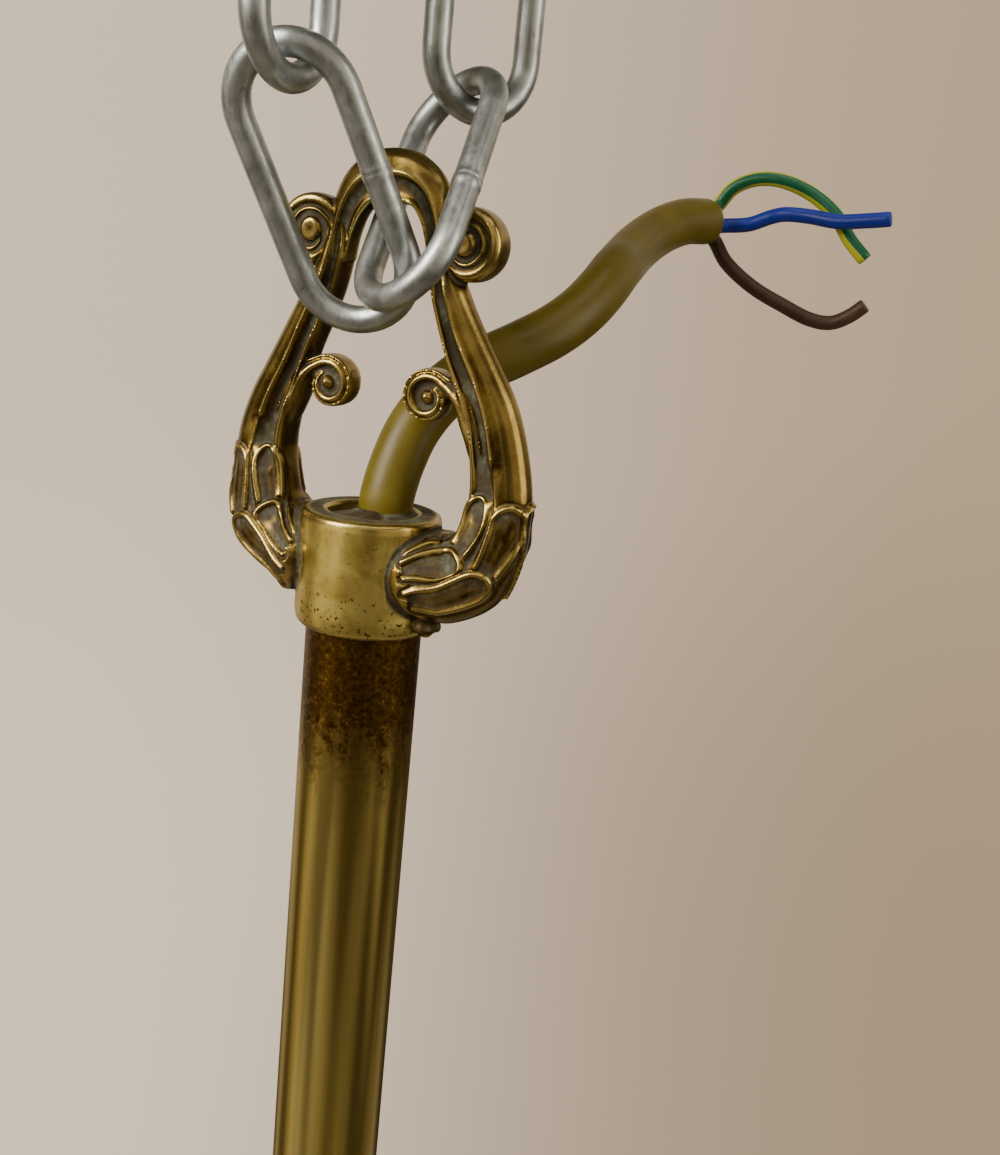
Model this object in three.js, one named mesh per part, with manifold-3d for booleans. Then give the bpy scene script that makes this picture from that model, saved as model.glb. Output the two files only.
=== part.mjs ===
// Brass chandelier that hangs on a bridle of four steel links.
// Millimetres, +Z up. The origin is on the ceiling plane, on the axis of the stem.
// The pieces are drawn from the top face of the collar, and the whole is then lowered from the ceiling.

import * as THREE from 'three';
import { mergeVertices } from 'three/addons/utils/BufferGeometryUtils.js';
import Module from 'manifold-3d';

const wasm = await Module();
wasm.setup();

// Fits that every piece shares
const gap = 0.3;
const overrun = 2;
const weldDistance = 0.0001;

// Chain link of round wire
const linkWire = 3.2;
const linkInnerWidth = 9.4;
const linkInnerLength = 27;
const linkWeldGrowthShare = 0.12;
const linkWeldShares = [-0.16, -0.1, 0.1, 0.16];

// The two lower links hold the arch between them, the front one on the near side
const frontLinkAside = 4.5;
const frontLinkSetback = 4;
const frontLinkSag = 2.2;
const frontLinkLeanShares = [-0.271, -0.368, 0.89];
const frontLinkWidthShares = [0.944, 0.08, 0.32];
const backLinkAside = 3.62;
const backLinkSetforward = 2.65;
const backLinkLeanShares = [-0.071, 0.61, 0.789];
const backLinkWidthShares = [0.892, -0.316, 0.324];
const frontUpperTurn = THREE.MathUtils.degToRad(88.3);
const backUpperTurn = THREE.MathUtils.degToRad(59.5);

// Ceiling fitting
const stapleWire = 5.6;
const stapleHalfSpan = 10;
const stapleDrop = 17;
const stapleCornerRadius = 6;
const stapleNutAcross = 10;
const stapleNutHeight = 5;
const plateDiameter = 70;
const plateThickness = 4;
const plateHoleDiameter = 5;
const plateHoleReach = 25;
const plateHoleSinkDiameter = 10;

// Collar and the bore for the cable
const collarDiameter = 17;
const collarHeight = 14;
const collarEdgeRadius = 0.9;
const collarEdgeShares = [0, 0.5, 1];
const collarTopWall = 3.6;
const cableBoreDiameter = 10.4;

// Lyre arms, arch and scrolls, cast in one with the collar
const lyreHeight = 41.1;
const armReach = 15.8;
const armWidth = 5.4;
const armDepth = 5.2;
const archWidth = 6.2;
const archDepth = 4.2;
const outerScrollRadius = 3.9;
const outerScrollBand = 2.1;
const outerScrollDepth = 3.9;
const outerBossRadius = 1.6;
const outerBossDepth = 5.4;
const outerScrollTurn = { fromAngle: 176, toAngle: -200, endShare: 0.5, holdPower: 4, steps: 11 };
const innerScrollRadius = 3.2;
const innerScrollBand = 1.5;
const innerScrollDepth = 3.4;
const innerBallRadius = 0.8;
const innerScrollTurn = { fromAngle: 52, toAngle: 400, endShare: 0.55, holdPower: 3, steps: 9 };
const scrollWebShare = 0.66;
const windingEndBandShare = 0.75;
const windingEndDepthShare = 0.9;
const leafRise = 1.2;
const leafPlane = 3.1;

// Cable and its cores
const cableDiameter = 6.5;
const coreDiameter = 2.1;

// Stem tube
const stemDiameter = 14;
const stemWall = 1;
const stemLength = 290;

// Turned body under the stem
const vaseHeight = 58;
const vaseDiameter = 31;
const vaseSocketDepth = 12;
const tieTubeDiameter = 10;
const tieTubeBore = 7.4;
const tieTubeGrip = 15;
const hubDiameter = 52;
const hubHeight = 22;
const hubSocketDepth = 9;
const hubNutAcross = 17;
const hubNutHeight = 6;
const bowlDiameter = 68;
const bowlHeight = 50;
const bowlWall = 2.2;
const bowlFloorHeight = 9;
const bowlFloorDiameter = 34;
const finialHeight = 38;
const finialDiameter = 19;
const finialSpigotDiameter = 7;
const finialSpigotLength = 6;
const terminalLength = 22;
const terminalWidth = 16;
const terminalHeight = 14;

// Arms and what stands on them
const armCount = 5;
const branchSpan = 195;
const branchDip = 42;
const branchWidth = 8.6;
const branchDepth = 7.6;
const branchTenonDiameter = 8;
const branchSeatDiameter = 13;
const branchSeatHeight = 4;
const branchSpigotDiameter = 7.6;
const branchSpigotLength = 14;
const branchScrollRadius = 12;
const branchScrollBand = 3.4;
const branchScrollDepth = 5;
const panDiameter = 58;
const panThickness = 1.4;
const panRimHeight = 3.4;
const panFlatShare = 0.62;
const cupDiameter = 31;
const cupFootDiameter = 15;
const cupHeight = 19;
const cupWall = 1.4;
const cupFullShare = 0.2;
const cupLipShare = 0.72;
const cupFloor = 5;
const sleeveDiameter = 24;
const sleeveWall = 1;
const sleeveHeight = 66;
const holderDiameter = 19;
const holderBore = 14.4;
const holderSocketDepth = 24;
const holderBelowSleeve = 1.5;
const holderSkirtDiameter = 14;
const holderShoulderDrop = 8;
const holderSkirtDrop = 12;

// Colours and finishes
const brass = { color: 0x9c7a35, roughness: 0.38, metalness: 0.95 };
const wornBrass = { color: 0xa98a45, roughness: 0.34, metalness: 0.95 };
const lacquerBrass = { color: 0x8a742e, roughness: 0.28, metalness: 0.9 };
const zinc = { color: 0xa3a59d, roughness: 0.36, metalness: 0.9 };
const oliveSheath = { color: 0x6d5a12, roughness: 0.5, metalness: 0 };
const blueSheath = { color: 0x0b22a0, roughness: 0.45, metalness: 0 };
const brownSheath = { color: 0x3f2415, roughness: 0.5, metalness: 0 };
const earthSheath = { color: 0xa8a93a, roughness: 0.45, metalness: 0 };
const candleIvory = { color: 0xe6dcc0, roughness: 0.6, metalness: 0 };
const holderBlack = { color: 0x1d1b19, roughness: 0.5, metalness: 0 };

// Plain helpers

function material(finish) {
  return new THREE.MeshStandardMaterial(finish);
}

function bareGeometry(geometry) {
  const bare = geometry.index ? geometry.toNonIndexed() : geometry.clone();
  for (const name of Object.keys(bare.attributes)) {
    if (name !== 'position') bare.deleteAttribute(name);
  }
  return mergeVertices(bare, weldDistance);
}

function signedVolume(geometry) {
  const places = geometry.attributes.position;
  const corner = [new THREE.Vector3(), new THREE.Vector3(), new THREE.Vector3()];
  let volume = 0;
  for (let i = 0; i < geometry.index.count; i += 3) {
    for (let k = 0; k < 3; k += 1) corner[k].fromBufferAttribute(places, geometry.index.getX(i + k));
    volume += corner[0].dot(corner[1].cross(corner[2]));
  }
  return volume;
}

function facingOut(geometry) {
  const bare = bareGeometry(geometry);
  if (signedVolume(bare) >= 0) return bare;
  const order = Array.from(bare.index.array);
  for (let i = 0; i < order.length; i += 3) [order[i + 1], order[i + 2]] = [order[i + 2], order[i + 1]];
  bare.setIndex(order);
  return bare;
}

function solidOf(geometry) {
  const bare = facingOut(geometry);
  const vertProperties = new Float32Array(bare.attributes.position.array);
  const triVerts = new Uint32Array(bare.index.array);
  return new wasm.Manifold(new wasm.Mesh({ numProp: 3, vertProperties, triVerts }));
}

function geometryOf(solid) {
  const shape = solid.getMesh();
  const geometry = new THREE.BufferGeometry();
  geometry.setAttribute('position', new THREE.BufferAttribute(new Float32Array(shape.vertProperties), 3));
  geometry.setIndex(new THREE.BufferAttribute(new Uint32Array(shape.triVerts), 1));
  return geometry;
}

function piece(name, shape, finish) {
  const geometry = shape.isBufferGeometry ? facingOut(shape) : geometryOf(shape);
  geometry.computeVertexNormals();
  const mesh = new THREE.Mesh(geometry, material(finish));
  mesh.name = name;
  return mesh;
}

function joined(geometries) {
  return geometries.map(solidOf).reduce((whole, next) => whole.add(next));
}

// A turned shape about +Z: outline points are [radius, height], on the axis at both ends or closed on itself
function turned(outline, sides) {
  const points = outline.map(([radius, height]) => new THREE.Vector2(radius, height));
  return new THREE.LatheGeometry(points, sides).rotateX(Math.PI / 2);
}

function rod(radius, low, high, sides) {
  return turned([[0, low], [radius, low], [radius, high], [0, high]], sides);
}

function tube(outerRadius, innerRadius, low, high, sides) {
  const outline = [[innerRadius, low], [outerRadius, low], [outerRadius, high], [innerRadius, high]];
  return turned([...outline, outline[0]], sides);
}

// Shares of a full radius and a height, from the foot up
function profile(shares, radius, low, height) {
  return shares.map(([radiusShare, heightShare]) => [radius * radiusShare, low + height * heightShare]);
}

// A skin over rings of points, with flat ends or closed into a loop
function skin(rings, isLoop) {
  const sides = rings[0].length;
  const places = rings.flat();
  const order = [];
  const last = isLoop ? rings.length : rings.length - 1;
  for (let i = 0; i < last; i += 1) {
    const here = i * sides;
    const there = ((i + 1) % rings.length) * sides;
    for (let j = 0; j < sides; j += 1) {
      const next = (j + 1) % sides;
      order.push(here + j, here + next, there + next, here + j, there + next, there + j);
    }
  }
  if (!isLoop) {
    for (const end of [0, rings.length - 1]) {
      const middle = new THREE.Vector3();
      rings[end].forEach((place) => middle.add(place));
      places.push(middle.divideScalar(sides));
      for (let j = 0; j < sides; j += 1) {
        const pair = [end * sides + j, end * sides + ((j + 1) % sides)];
        if (end === 0) pair.reverse();
        order.push(places.length - 1, ...pair);
      }
    }
  }
  const geometry = new THREE.BufferGeometry().setFromPoints(places);
  geometry.setIndex(order);
  return geometry;
}

// A bar that follows a path in the XZ plane. Each station holds x, z, width and depth.
// The outline holds shares of the half width, across the path, and of the half depth, along Y.
function bar(stations, outlineShares, stepsPerSpan) {
  const places = stations.map((s) => new THREE.Vector3(s.x, 0, s.z));
  const path = new THREE.CatmullRomCurve3(places, false, 'centripetal');
  const spans = stations.length - 1;
  const rings = [];
  for (let i = 0; i <= spans * stepsPerSpan; i += 1) {
    const along = i / stepsPerSpan;
    const from = stations[Math.min(Math.floor(along), spans - 1)];
    const to = stations[Math.min(Math.floor(along) + 1, spans)];
    const blend = along - Math.min(Math.floor(along), spans - 1);
    const halfWidth = THREE.MathUtils.lerp(from.width, to.width, blend) / 2;
    const halfDepth = THREE.MathUtils.lerp(from.depth, to.depth, blend) / 2;
    const place = path.getPoint(along / spans);
    const tangent = path.getTangent(along / spans);
    rings.push(outlineShares.map(([across, deep]) => new THREE.Vector3(
      place.x + tangent.z * across * halfWidth,
      deep * halfDepth,
      place.z - tangent.x * across * halfWidth,
    )));
  }
  return skin(rings, false);
}

// Stations from a table of shares: across and up, then width and depth
function stationsFrom(table, reach, height, width, depth) {
  return table.map(([xShare, zShare, widthShare, depthShare]) => ({
    x: xShare * reach,
    z: zShare * height,
    width: widthShare * width,
    depth: depthShare * depth,
  }));
}

// Stations that wind in round a centre, between two angles in degrees.
// The radius holds for most of the turn, then closes in.
function windingStations(centre, radius, band, depth, { fromAngle, toAngle, endShare, holdPower, steps }) {
  return Array.from({ length: steps + 1 }, (unused, i) => {
    const share = i / steps;
    const angle = THREE.MathUtils.degToRad(THREE.MathUtils.lerp(fromAngle, toAngle, share));
    const turnRadius = (radius - band / 2) * THREE.MathUtils.lerp(1, endShare, share ** holdPower);
    return {
      x: centre.x + turnRadius * Math.cos(angle),
      z: centre.z + turnRadius * Math.sin(angle),
      width: band * THREE.MathUtils.lerp(1, windingEndBandShare, share),
      depth: depth * THREE.MathUtils.lerp(1, windingEndDepthShare, share),
    };
  });
}

// A flat round disc that lies along Y
function disc(centre, radius, depth, sides) {
  return rod(radius, -depth / 2, depth / 2, sides).rotateX(Math.PI / 2).translate(centre.x, 0, centre.z);
}

const domeShares = [[0, -1], [0.62, -0.88], [1, -0.55], [1, 0.55], [0.62, 0.88], [0, 1]];

// A domed stud that lies along Y and shows at both faces
function stud(centre, radius, depth, sides) {
  const outline = domeShares.map(([radiusShare, depthShare]) => [radiusShare * radius, depthShare * depth / 2]);
  return turned(outline, sides).rotateX(Math.PI / 2).translate(centre.x, 0, centre.z);
}

function mirrored(geometry) {
  return geometry.clone().scale(-1, 1, 1);
}

// Chain links

const linkHalfWidth = (linkInnerWidth + linkWire) / 2;
const linkHalfLength = (linkInnerLength + linkWire) / 2;

// A link about its own centre: long along Z, wide along X, with the swelling of the weld on one leg
function linkGeometry() {
  const arcSteps = 8;
  const wireSides = 7;
  const straight = linkHalfLength - linkHalfWidth;
  const stations = [];
  const addArc = (side) => {
    for (let i = 0; i <= arcSteps; i += 1) {
      const angle = (Math.PI * i) / arcSteps;
      const nx = side * Math.cos(angle);
      const nz = side * Math.sin(angle);
      stations.push({ x: linkHalfWidth * nx, z: side * straight + linkHalfWidth * nz, nx, nz, grow: 1 });
    }
  };
  addArc(1);
  addArc(-1);
  linkWeldShares.forEach((share, i) => {
    const swells = i > 0 && i < linkWeldShares.length - 1;
    const grow = swells ? 1 + linkWeldGrowthShare : 1;
    stations.push({ x: linkHalfWidth, z: share * straight, nx: 1, nz: 0, grow });
  });
  const rings = stations.map(({ x, z, nx, nz, grow }) => Array.from({ length: wireSides }, (unused, j) => {
    const turn = (2 * Math.PI * (j + 0.5)) / wireSides;
    const out = (linkWire / 2) * grow * Math.cos(turn);
    const side = (linkWire / 2) * grow * Math.sin(turn);
    return new THREE.Vector3(x + nx * out, side, z + nz * out);
  }));
  return skin(rings, true);
}

function linkPose(centre, leanShares, widthShares) {
  const long = new THREE.Vector3(...leanShares).normalize();
  const flat = new THREE.Vector3().crossVectors(long, new THREE.Vector3(...widthShares)).normalize();
  const wide = new THREE.Vector3().crossVectors(flat, long);
  return { centre, long, wide, flat };
}

// From a link's centre to the wire's centre at the highest point of the link
function topOffset({ long, wide }) {
  const lean = Math.hypot(wide.z, long.z);
  const straight = linkHalfLength - linkHalfWidth;
  return long.clone().multiplyScalar(straight + (linkHalfWidth * long.z) / lean)
    .add(wide.clone().multiplyScalar((linkHalfWidth * wide.z) / lean));
}

function plumbPose(hangPoint, turn) {
  const centre = hangPoint.clone().add(new THREE.Vector3(0, 0, linkHalfLength - linkWire - gap));
  return linkPose(centre, [0, 0, 1], [Math.cos(turn), Math.sin(turn), 0]);
}

function linkMesh(name, pose) {
  const turn = new THREE.Matrix4().makeBasis(pose.wide, pose.flat, pose.long);
  return piece(name, linkGeometry().applyMatrix4(turn).translate(...pose.centre.toArray()), zinc);
}

const archMiddle = lyreHeight - archWidth / 2;
const wireBesideArch = archDepth / 2 + gap + linkWire / 2;
const frontLower = linkPose(
  new THREE.Vector3(-frontLinkAside, -wireBesideArch - frontLinkSetback, archMiddle - frontLinkSag),
  frontLinkLeanShares,
  frontLinkWidthShares,
);
const frontHang = frontLower.centre.clone().add(topOffset(frontLower));
const backLower = linkPose(
  new THREE.Vector3(backLinkAside, wireBesideArch - backLinkSetforward, 0),
  backLinkLeanShares,
  backLinkWidthShares,
);
backLower.centre.z = frontHang.z - topOffset(backLower).z;
const backHang = backLower.centre.clone().add(topOffset(backLower));
const frontUpper = plumbPose(frontHang, frontUpperTurn);
const backUpper = plumbPose(backHang, backUpperTurn);

// Ceiling fitting: a round plate and two staples, whose threaded legs go up through it and hold nuts

const stapleHeight = frontUpper.centre.z + linkHalfLength - (linkWire + stapleWire) / 2 - gap;
const hangMiddle = frontHang.clone().add(backHang).divideScalar(2).setZ(0);
const hangWay = backHang.clone().sub(frontHang).setZ(0);
const stapleSpacing = hangWay.length() / 2;
const stapleAngle = Math.atan2(hangWay.y, hangWay.x) - Math.PI / 2;
const plateLow = stapleHeight + stapleDrop;
const ceilingHeight = plateLow + plateThickness;
const cornerSides = [[-1, -1], [1, -1], [1, 1], [-1, 1]];

function onPlate(geometry) {
  return geometry.rotateZ(stapleAngle).translate(hangMiddle.x, hangMiddle.y, 0);
}

function hangerStaple(side) {
  const sides = 8;
  const cornerSteps = 3;
  const places = [];
  for (const legSide of [-1, 1]) {
    const legX = legSide * stapleHalfSpan;
    const corner = Array.from({ length: cornerSteps + 1 }, (unused, i) => {
      const angle = (i / cornerSteps) * (Math.PI / 2);
      return {
        x: legX - legSide * stapleCornerRadius * (1 - Math.cos(angle)),
        z: stapleHeight + stapleCornerRadius * (1 - Math.sin(angle)),
        nx: Math.cos(angle),
        nz: -legSide * Math.sin(angle),
      };
    });
    const half = [{ x: legX, z: ceilingHeight - gap, nx: 1, nz: 0 }, ...corner];
    places.push(...(legSide < 0 ? half : half.reverse()));
  }
  const rings = places.map(({ x, z, nx, nz }, i) => Array.from({ length: sides }, (unused, j) => {
    const flip = i < places.length / 2 ? 1 : -1;
    const turn = (2 * Math.PI * j) / sides;
    const out = (stapleWire / 2) * Math.cos(turn);
    return new THREE.Vector3(x + flip * nx * out, (stapleWire / 2) * Math.sin(turn), z + flip * nz * out);
  }));
  return onPlate(skin(rings, false).translate(0, side * stapleSpacing, 0));
}

function ceilingPlate() {
  let plate = solidOf(onPlate(turned([
    [0, plateLow],
    [(plateDiameter - plateThickness) / 2, plateLow],
    [plateDiameter / 2, plateLow + plateThickness / 2],
    [plateDiameter / 2, ceilingHeight],
    [0, ceilingHeight],
  ], 24)));
  for (const [legSide, side] of cornerSides) {
    const legHole = rod(stapleWire / 2 + gap, plateLow - overrun, ceilingHeight + overrun, 12);
    legHole.translate(legSide * stapleHalfSpan, side * stapleSpacing, 0);
    plate = plate.subtract(solidOf(onPlate(legHole)));
  }
  for (const side of [-1, 1]) {
    const screwHole = turned([
      [0, plateLow - overrun],
      [plateHoleSinkDiameter / 2, plateLow - overrun],
      [plateHoleSinkDiameter / 2, plateLow],
      [plateHoleDiameter / 2, plateLow + plateThickness / 2],
      [plateHoleDiameter / 2, ceilingHeight + overrun],
      [0, ceilingHeight + overrun],
    ], 8);
    plate = plate.subtract(solidOf(onPlate(screwHole.translate(side * plateHoleReach, 0, 0))));
  }
  return plate;
}

function stapleNut([legSide, side]) {
  const nut = hexNut(stapleNutAcross, stapleWire + 2 * gap, plateLow - gap - stapleNutHeight, plateLow - gap);
  return onPlate(geometryOf(nut).translate(legSide * stapleHalfSpan, side * stapleSpacing, 0));
}

// Lyre hanger

// Half of the section of an arm: from its inner edge over the thin ridge, the groove and the main ridge
const armOutlineShares = [
  [-1, -0.5], [-0.8, -0.92], [-0.42, -0.66], [0.05, -1], [0.9, -0.5],
  [0.9, 0.5], [0.05, 1], [-0.42, 0.66], [-0.8, 0.92], [-1, 0.5],
];
const archOutlineShares = [
  [-1, -0.35], [-0.45, -0.85], [0.45, -0.85], [1, -0.35],
  [1, 0.35], [0.45, 0.85], [-0.45, 0.85], [-1, 0.35],
];
const strandOutlineShares = [[-1, -0.5], [-0.2, -1], [1, -0.6], [1, 0.6], [-0.2, 1], [-1, 0.5]];

// Places along an arm, from inside the collar up to the neck: out, up, width and depth
const armTableShares = [
  [0.291, -0.153, 1.407, 2.192],
  [0.456, -0.151, 1.87, 2.558],
  [0.582, -0.148, 1.889, 2.385],
  [0.709, -0.136, 1.852, 2.115],
  [0.835, -0.107, 1.833, 1.846],
  [0.937, -0.044, 1.63, 1.577],
  [0.981, 0.044, 1.463, 1.385],
  [1, 0.131, 1.296, 1.231],
  [0.956, 0.234, 1.185, 1.154],
  [0.886, 0.316, 1.093, 1.096],
  [0.766, 0.416, 0.981, 1.038],
  [0.614, 0.535, 0.852, 0.962],
  [0.487, 0.647, 0.667, 0.904],
];
const outerScrollShares = [0.608, 0.764];
const innerScrollShares = [0.411, 0.349];
const outerScrollCentre = { x: armReach * outerScrollShares[0], z: lyreHeight * outerScrollShares[1] };
const innerScrollCentre = { x: armReach * innerScrollShares[0], z: lyreHeight * innerScrollShares[1] };

// The strand that leaves the inside of an arm and winds into the small scroll
const strandTableShares = [
  [0.861, 0.127, 1.6, 1.647],
  [0.829, 0.214, 1.733, 1.529],
  [0.759, 0.292, 1.733, 1.412],
  [0.665, 0.363, 1.533, 1.235],
];

// Half of the arch, from the neck to the crown: out, up, width and depth
const archTableShares = [
  [0.418, 0.691, 0.5, 0.952],
  [0.392, 0.769, 0.565, 1],
  [0.335, 0.839, 0.645, 1],
  [0.247, 0.893, 0.774, 1],
  [0.127, 0.92, 0.919, 1],
];

// Leaves over the foot of each arm: tip out and up, root out and up, width,
// distance from the middle, and rise
const leafTableShares = [
  [1.114, 0.114, 1.025, -0.102, 0.667, 1.161, 1],
  [0.88, 0.122, 0.747, -0.071, 0.556, 1.129, 0.917],
  [0.816, -0.049, 0.532, -0.136, 0.593, 1.613, 0.917],
  [1.044, -0.09, 0.595, -0.202, 0.611, 1.419, 1],
];
const outerLeafTableShares = [
  [1.234, 0.112, 1.133, -0.136, 0.519, 0, 2],
];

function leaf([tipX, tipZ, rootX, rootZ, widthShare, apartShare, riseShare], side) {
  const from = new THREE.Vector3(rootX * armReach, 0, rootZ * lyreHeight);
  const to = new THREE.Vector3(tipX * armReach, 0, tipZ * lyreHeight);
  const along = to.clone().sub(from);
  const length = along.length();
  const geometry = new THREE.SphereGeometry(1, 5, 4);
  geometry.scale((widthShare * armWidth) / 2, length / 2, riseShare * leafRise);
  const turn = new THREE.Matrix4().makeBasis(
    new THREE.Vector3(along.z, 0, -along.x).divideScalar(length),
    along.clone().divideScalar(length),
    new THREE.Vector3(0, -1, 0),
  );
  const middle = from.add(to).divideScalar(2);
  return geometry.applyMatrix4(turn).translate(middle.x, side * apartShare * leafPlane, middle.z);
}

function collarOutline() {
  const outer = collarDiameter / 2;
  const corner = (height, sign) => collarEdgeShares.map((share) => {
    const angle = (share * Math.PI) / 2;
    const inward = collarEdgeRadius * (1 - Math.sin(angle));
    return [outer - inward, height - sign * collarEdgeRadius * (1 - Math.cos(angle))];
  });
  const seat = stemDiameter / 2 + gap;
  const outline = [
    [cableBoreDiameter / 2, 0],
    ...corner(0, 1),
    ...corner(-collarHeight, -1).reverse(),
    [seat, -collarHeight],
    [seat, -collarTopWall],
    [cableBoreDiameter / 2, -collarTopWall],
  ];
  return [...outline, outline[0]];
}

function lyreHalf() {
  const neck = stationsFrom(armTableShares, armReach, lyreHeight, armWidth, armDepth);
  const outerWinding = windingStations(
    outerScrollCentre, outerScrollRadius, outerScrollBand, outerScrollDepth, outerScrollTurn,
  );
  const strand = stationsFrom(strandTableShares, armReach, lyreHeight, innerScrollBand, innerScrollDepth);
  const innerWinding = windingStations(
    innerScrollCentre, innerScrollRadius, innerScrollBand, innerScrollDepth, innerScrollTurn,
  );
  const outerWebRadius = outerScrollRadius - outerScrollBand / 2;
  const innerWebRadius = innerScrollRadius - innerScrollBand / 2;
  const parts = [
    bar([...neck, ...outerWinding], armOutlineShares, 1),
    disc(outerScrollCentre, outerWebRadius, outerScrollDepth * scrollWebShare, 10),
    stud(outerScrollCentre, outerBossRadius, outerBossDepth, 8),
    bar([...strand, ...innerWinding], strandOutlineShares, 1),
    disc(innerScrollCentre, innerWebRadius, innerScrollDepth * scrollWebShare, 8),
    stud(innerScrollCentre, innerBallRadius, innerScrollDepth + innerBallRadius, 6),
  ];
  for (const row of leafTableShares) parts.push(leaf(row, 1), leaf(row, -1));
  outerLeafTableShares.forEach((row) => parts.push(leaf(row, 1)));
  return parts;
}

function lyreHanger() {
  const half = lyreHalf();
  const quarter = stationsFrom(archTableShares, armReach, lyreHeight, archWidth, archDepth);
  const crown = { x: 0, z: archMiddle, width: archWidth, depth: archDepth };
  const otherQuarter = quarter.map((s) => ({ ...s, x: -s.x })).reverse();
  const arch = bar([...quarter, crown, ...otherQuarter], archOutlineShares, 1);
  const collar = solidOf(turned(collarOutline(), 24));
  const arms = joined([...half, ...half.map(mirrored), arch]);
  const seat = rod(stemDiameter / 2 + gap, -collarHeight - overrun, -collarTopWall, 24);
  const bore = rod(cableBoreDiameter / 2, -collarHeight - overrun, overrun, 24);
  return collar.add(arms.subtract(solidOf(seat)).subtract(solidOf(bore)));
}

// Cable: the free stretch leaves the collar, and the rest runs down inside the stem

const cableRoute = [
  [1.2, 1, 0], [1.2, 1.1, 1.4], [1.5, 2.5, 5.4], [2.4, 4.6, 9.8], [4.5, 7.1, 13.9], [7.6, 9.7, 17.2],
  [11.2, 12.6, 19.7], [14.2, 16.2, 22.1], [16.1, 20.3, 24.7], [17, 24.6, 27.4], [16.9, 29.4, 29.6], [16.4, 34.4, 31.1],
  [16.1, 39.3, 32.7], [16.3, 44.3, 34.4], [17.2, 49.1, 36.1], [18.7, 54, 37.4], [20.7, 58.8, 37.8],
];
const cableInStemRoute = [
  [1.2, 1, -0.4], [1.2, 1, -8], [0.6, 0.5, -40], [0, 0, -90], [0, 0, -200],
];
const earthRoute = [
  [20.85, 59.5, 39.5], [21.4, 60.9, 40.3], [23.2, 61, 42.8], [26.2, 61, 44.3], [29.9, 61, 44.5],
  [34.3, 62, 43.1], [38.3, 62, 40.4], [40.9, 62, 37.1], [43.5, 62, 34.6],
];
const blueRoute = [
  [22.1, 58.7, 37.3], [22.9, 60.3, 37.5], [26.2, 61.3, 38], [29.4, 61, 39.3], [31.4, 60.3, 39.8],
  [35, 60, 39.8], [39.3, 59, 39.4], [43.2, 58.6, 39.8], [46.6, 58.4, 40.3],
];
const brownRoute = [
  [20.75, 59.75, 35.9], [21.4, 61.4, 35.3], [23.5, 61.6, 32.4], [28, 61.6, 29.2], [32.6, 62, 27.1],
  [37.1, 62.6, 25.4], [40, 63, 25.3], [42.5, 63, 26.6], [44.4, 63, 28.3],
];

function cord(route, diameter, sides, steps) {
  const path = new THREE.CatmullRomCurve3(route.map((place) => new THREE.Vector3(...place)));
  const section = new THREE.Shape(Array.from({ length: sides }, (unused, j) => {
    const turn = (2 * Math.PI * j) / sides;
    return new THREE.Vector2((diameter / 2) * Math.cos(turn), (diameter / 2) * Math.sin(turn));
  }));
  return new THREE.ExtrudeGeometry(section, { steps, extrudePath: path });
}

// The hidden part of the cable runs straight down the stem to the block
function cableInStem() {
  return cord([...cableInStemRoute, [0, 0, terminalLow + terminalHeight + gap]], cableDiameter, 10, 8);
}

// Stem and the turned body

const stemTop = -collarTopWall - gap;
const stemLow = stemTop - stemLength;
const vaseTop = stemLow + vaseSocketDepth - gap;
const vaseLow = vaseTop - vaseHeight;
const hubTop = vaseLow - gap;
const hubLow = hubTop - hubHeight;
const hubMiddle = (hubTop + hubLow) / 2;
const bowlTop = hubLow - gap;
const bowlLow = bowlTop - bowlHeight;
const finialTop = bowlLow - gap;
const finialLow = finialTop - finialHeight;
const tieTop = vaseLow + tieTubeGrip;
const tieLow = hubLow - gap - hubNutHeight - gap;
const terminalLow = bowlLow + bowlFloorHeight + gap;

const vaseShares = [
  [0.5, 0], [0.62, 0.02], [0.62, 0.07], [0.42, 0.12], [0.46, 0.2], [0.78, 0.33], [0.98, 0.46], [0.98, 0.56],
  [0.8, 0.66], [0.56, 0.73], [0.52, 0.78], [0.64, 0.82], [0.64, 0.88], [0.56, 0.92], [0.56, 1],
];
const hubShares = [
  [0.62, 0], [0.7, 0.05], [0.94, 0.16], [1, 0.26], [1, 0.74], [0.94, 0.84], [0.62, 0.95], [0.5, 1],
];
const bowlShares = [
  [0.2, 0], [0.34, 0.02], [0.4, 0.1], [0.62, 0.2], [0.86, 0.36], [0.98, 0.56], [1, 0.72], [0.92, 0.84],
  [0.76, 0.92], [0.72, 1],
];
const finialShares = [
  [0, 0], [0.26, 0.01], [0.42, 0.07], [0.42, 0.14], [0.26, 0.2], [0.3, 0.26], [0.72, 0.38], [0.98, 0.54],
  [0.98, 0.64], [0.7, 0.76], [0.42, 0.82], [0.5, 0.88], [0.72, 0.92], [0.72, 1], [0, 1],
];

function stemVase() {
  const outline = [
    [0, vaseLow], ...profile(vaseShares, vaseDiameter / 2, vaseLow, vaseHeight), [0, vaseTop],
  ];
  const socket = rod(stemDiameter / 2 + gap, vaseTop - vaseSocketDepth, vaseTop + overrun, 20);
  const passage = rod(tieTubeBore / 2, vaseLow - overrun, vaseTop + overrun, 16);
  const grip = rod(tieTubeDiameter / 2 + gap, vaseLow - overrun, tieTop + gap, 16);
  const body = solidOf(turned(outline, 14));
  return [socket, passage, grip].reduce((left, cut) => left.subtract(solidOf(cut)), body);
}

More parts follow.
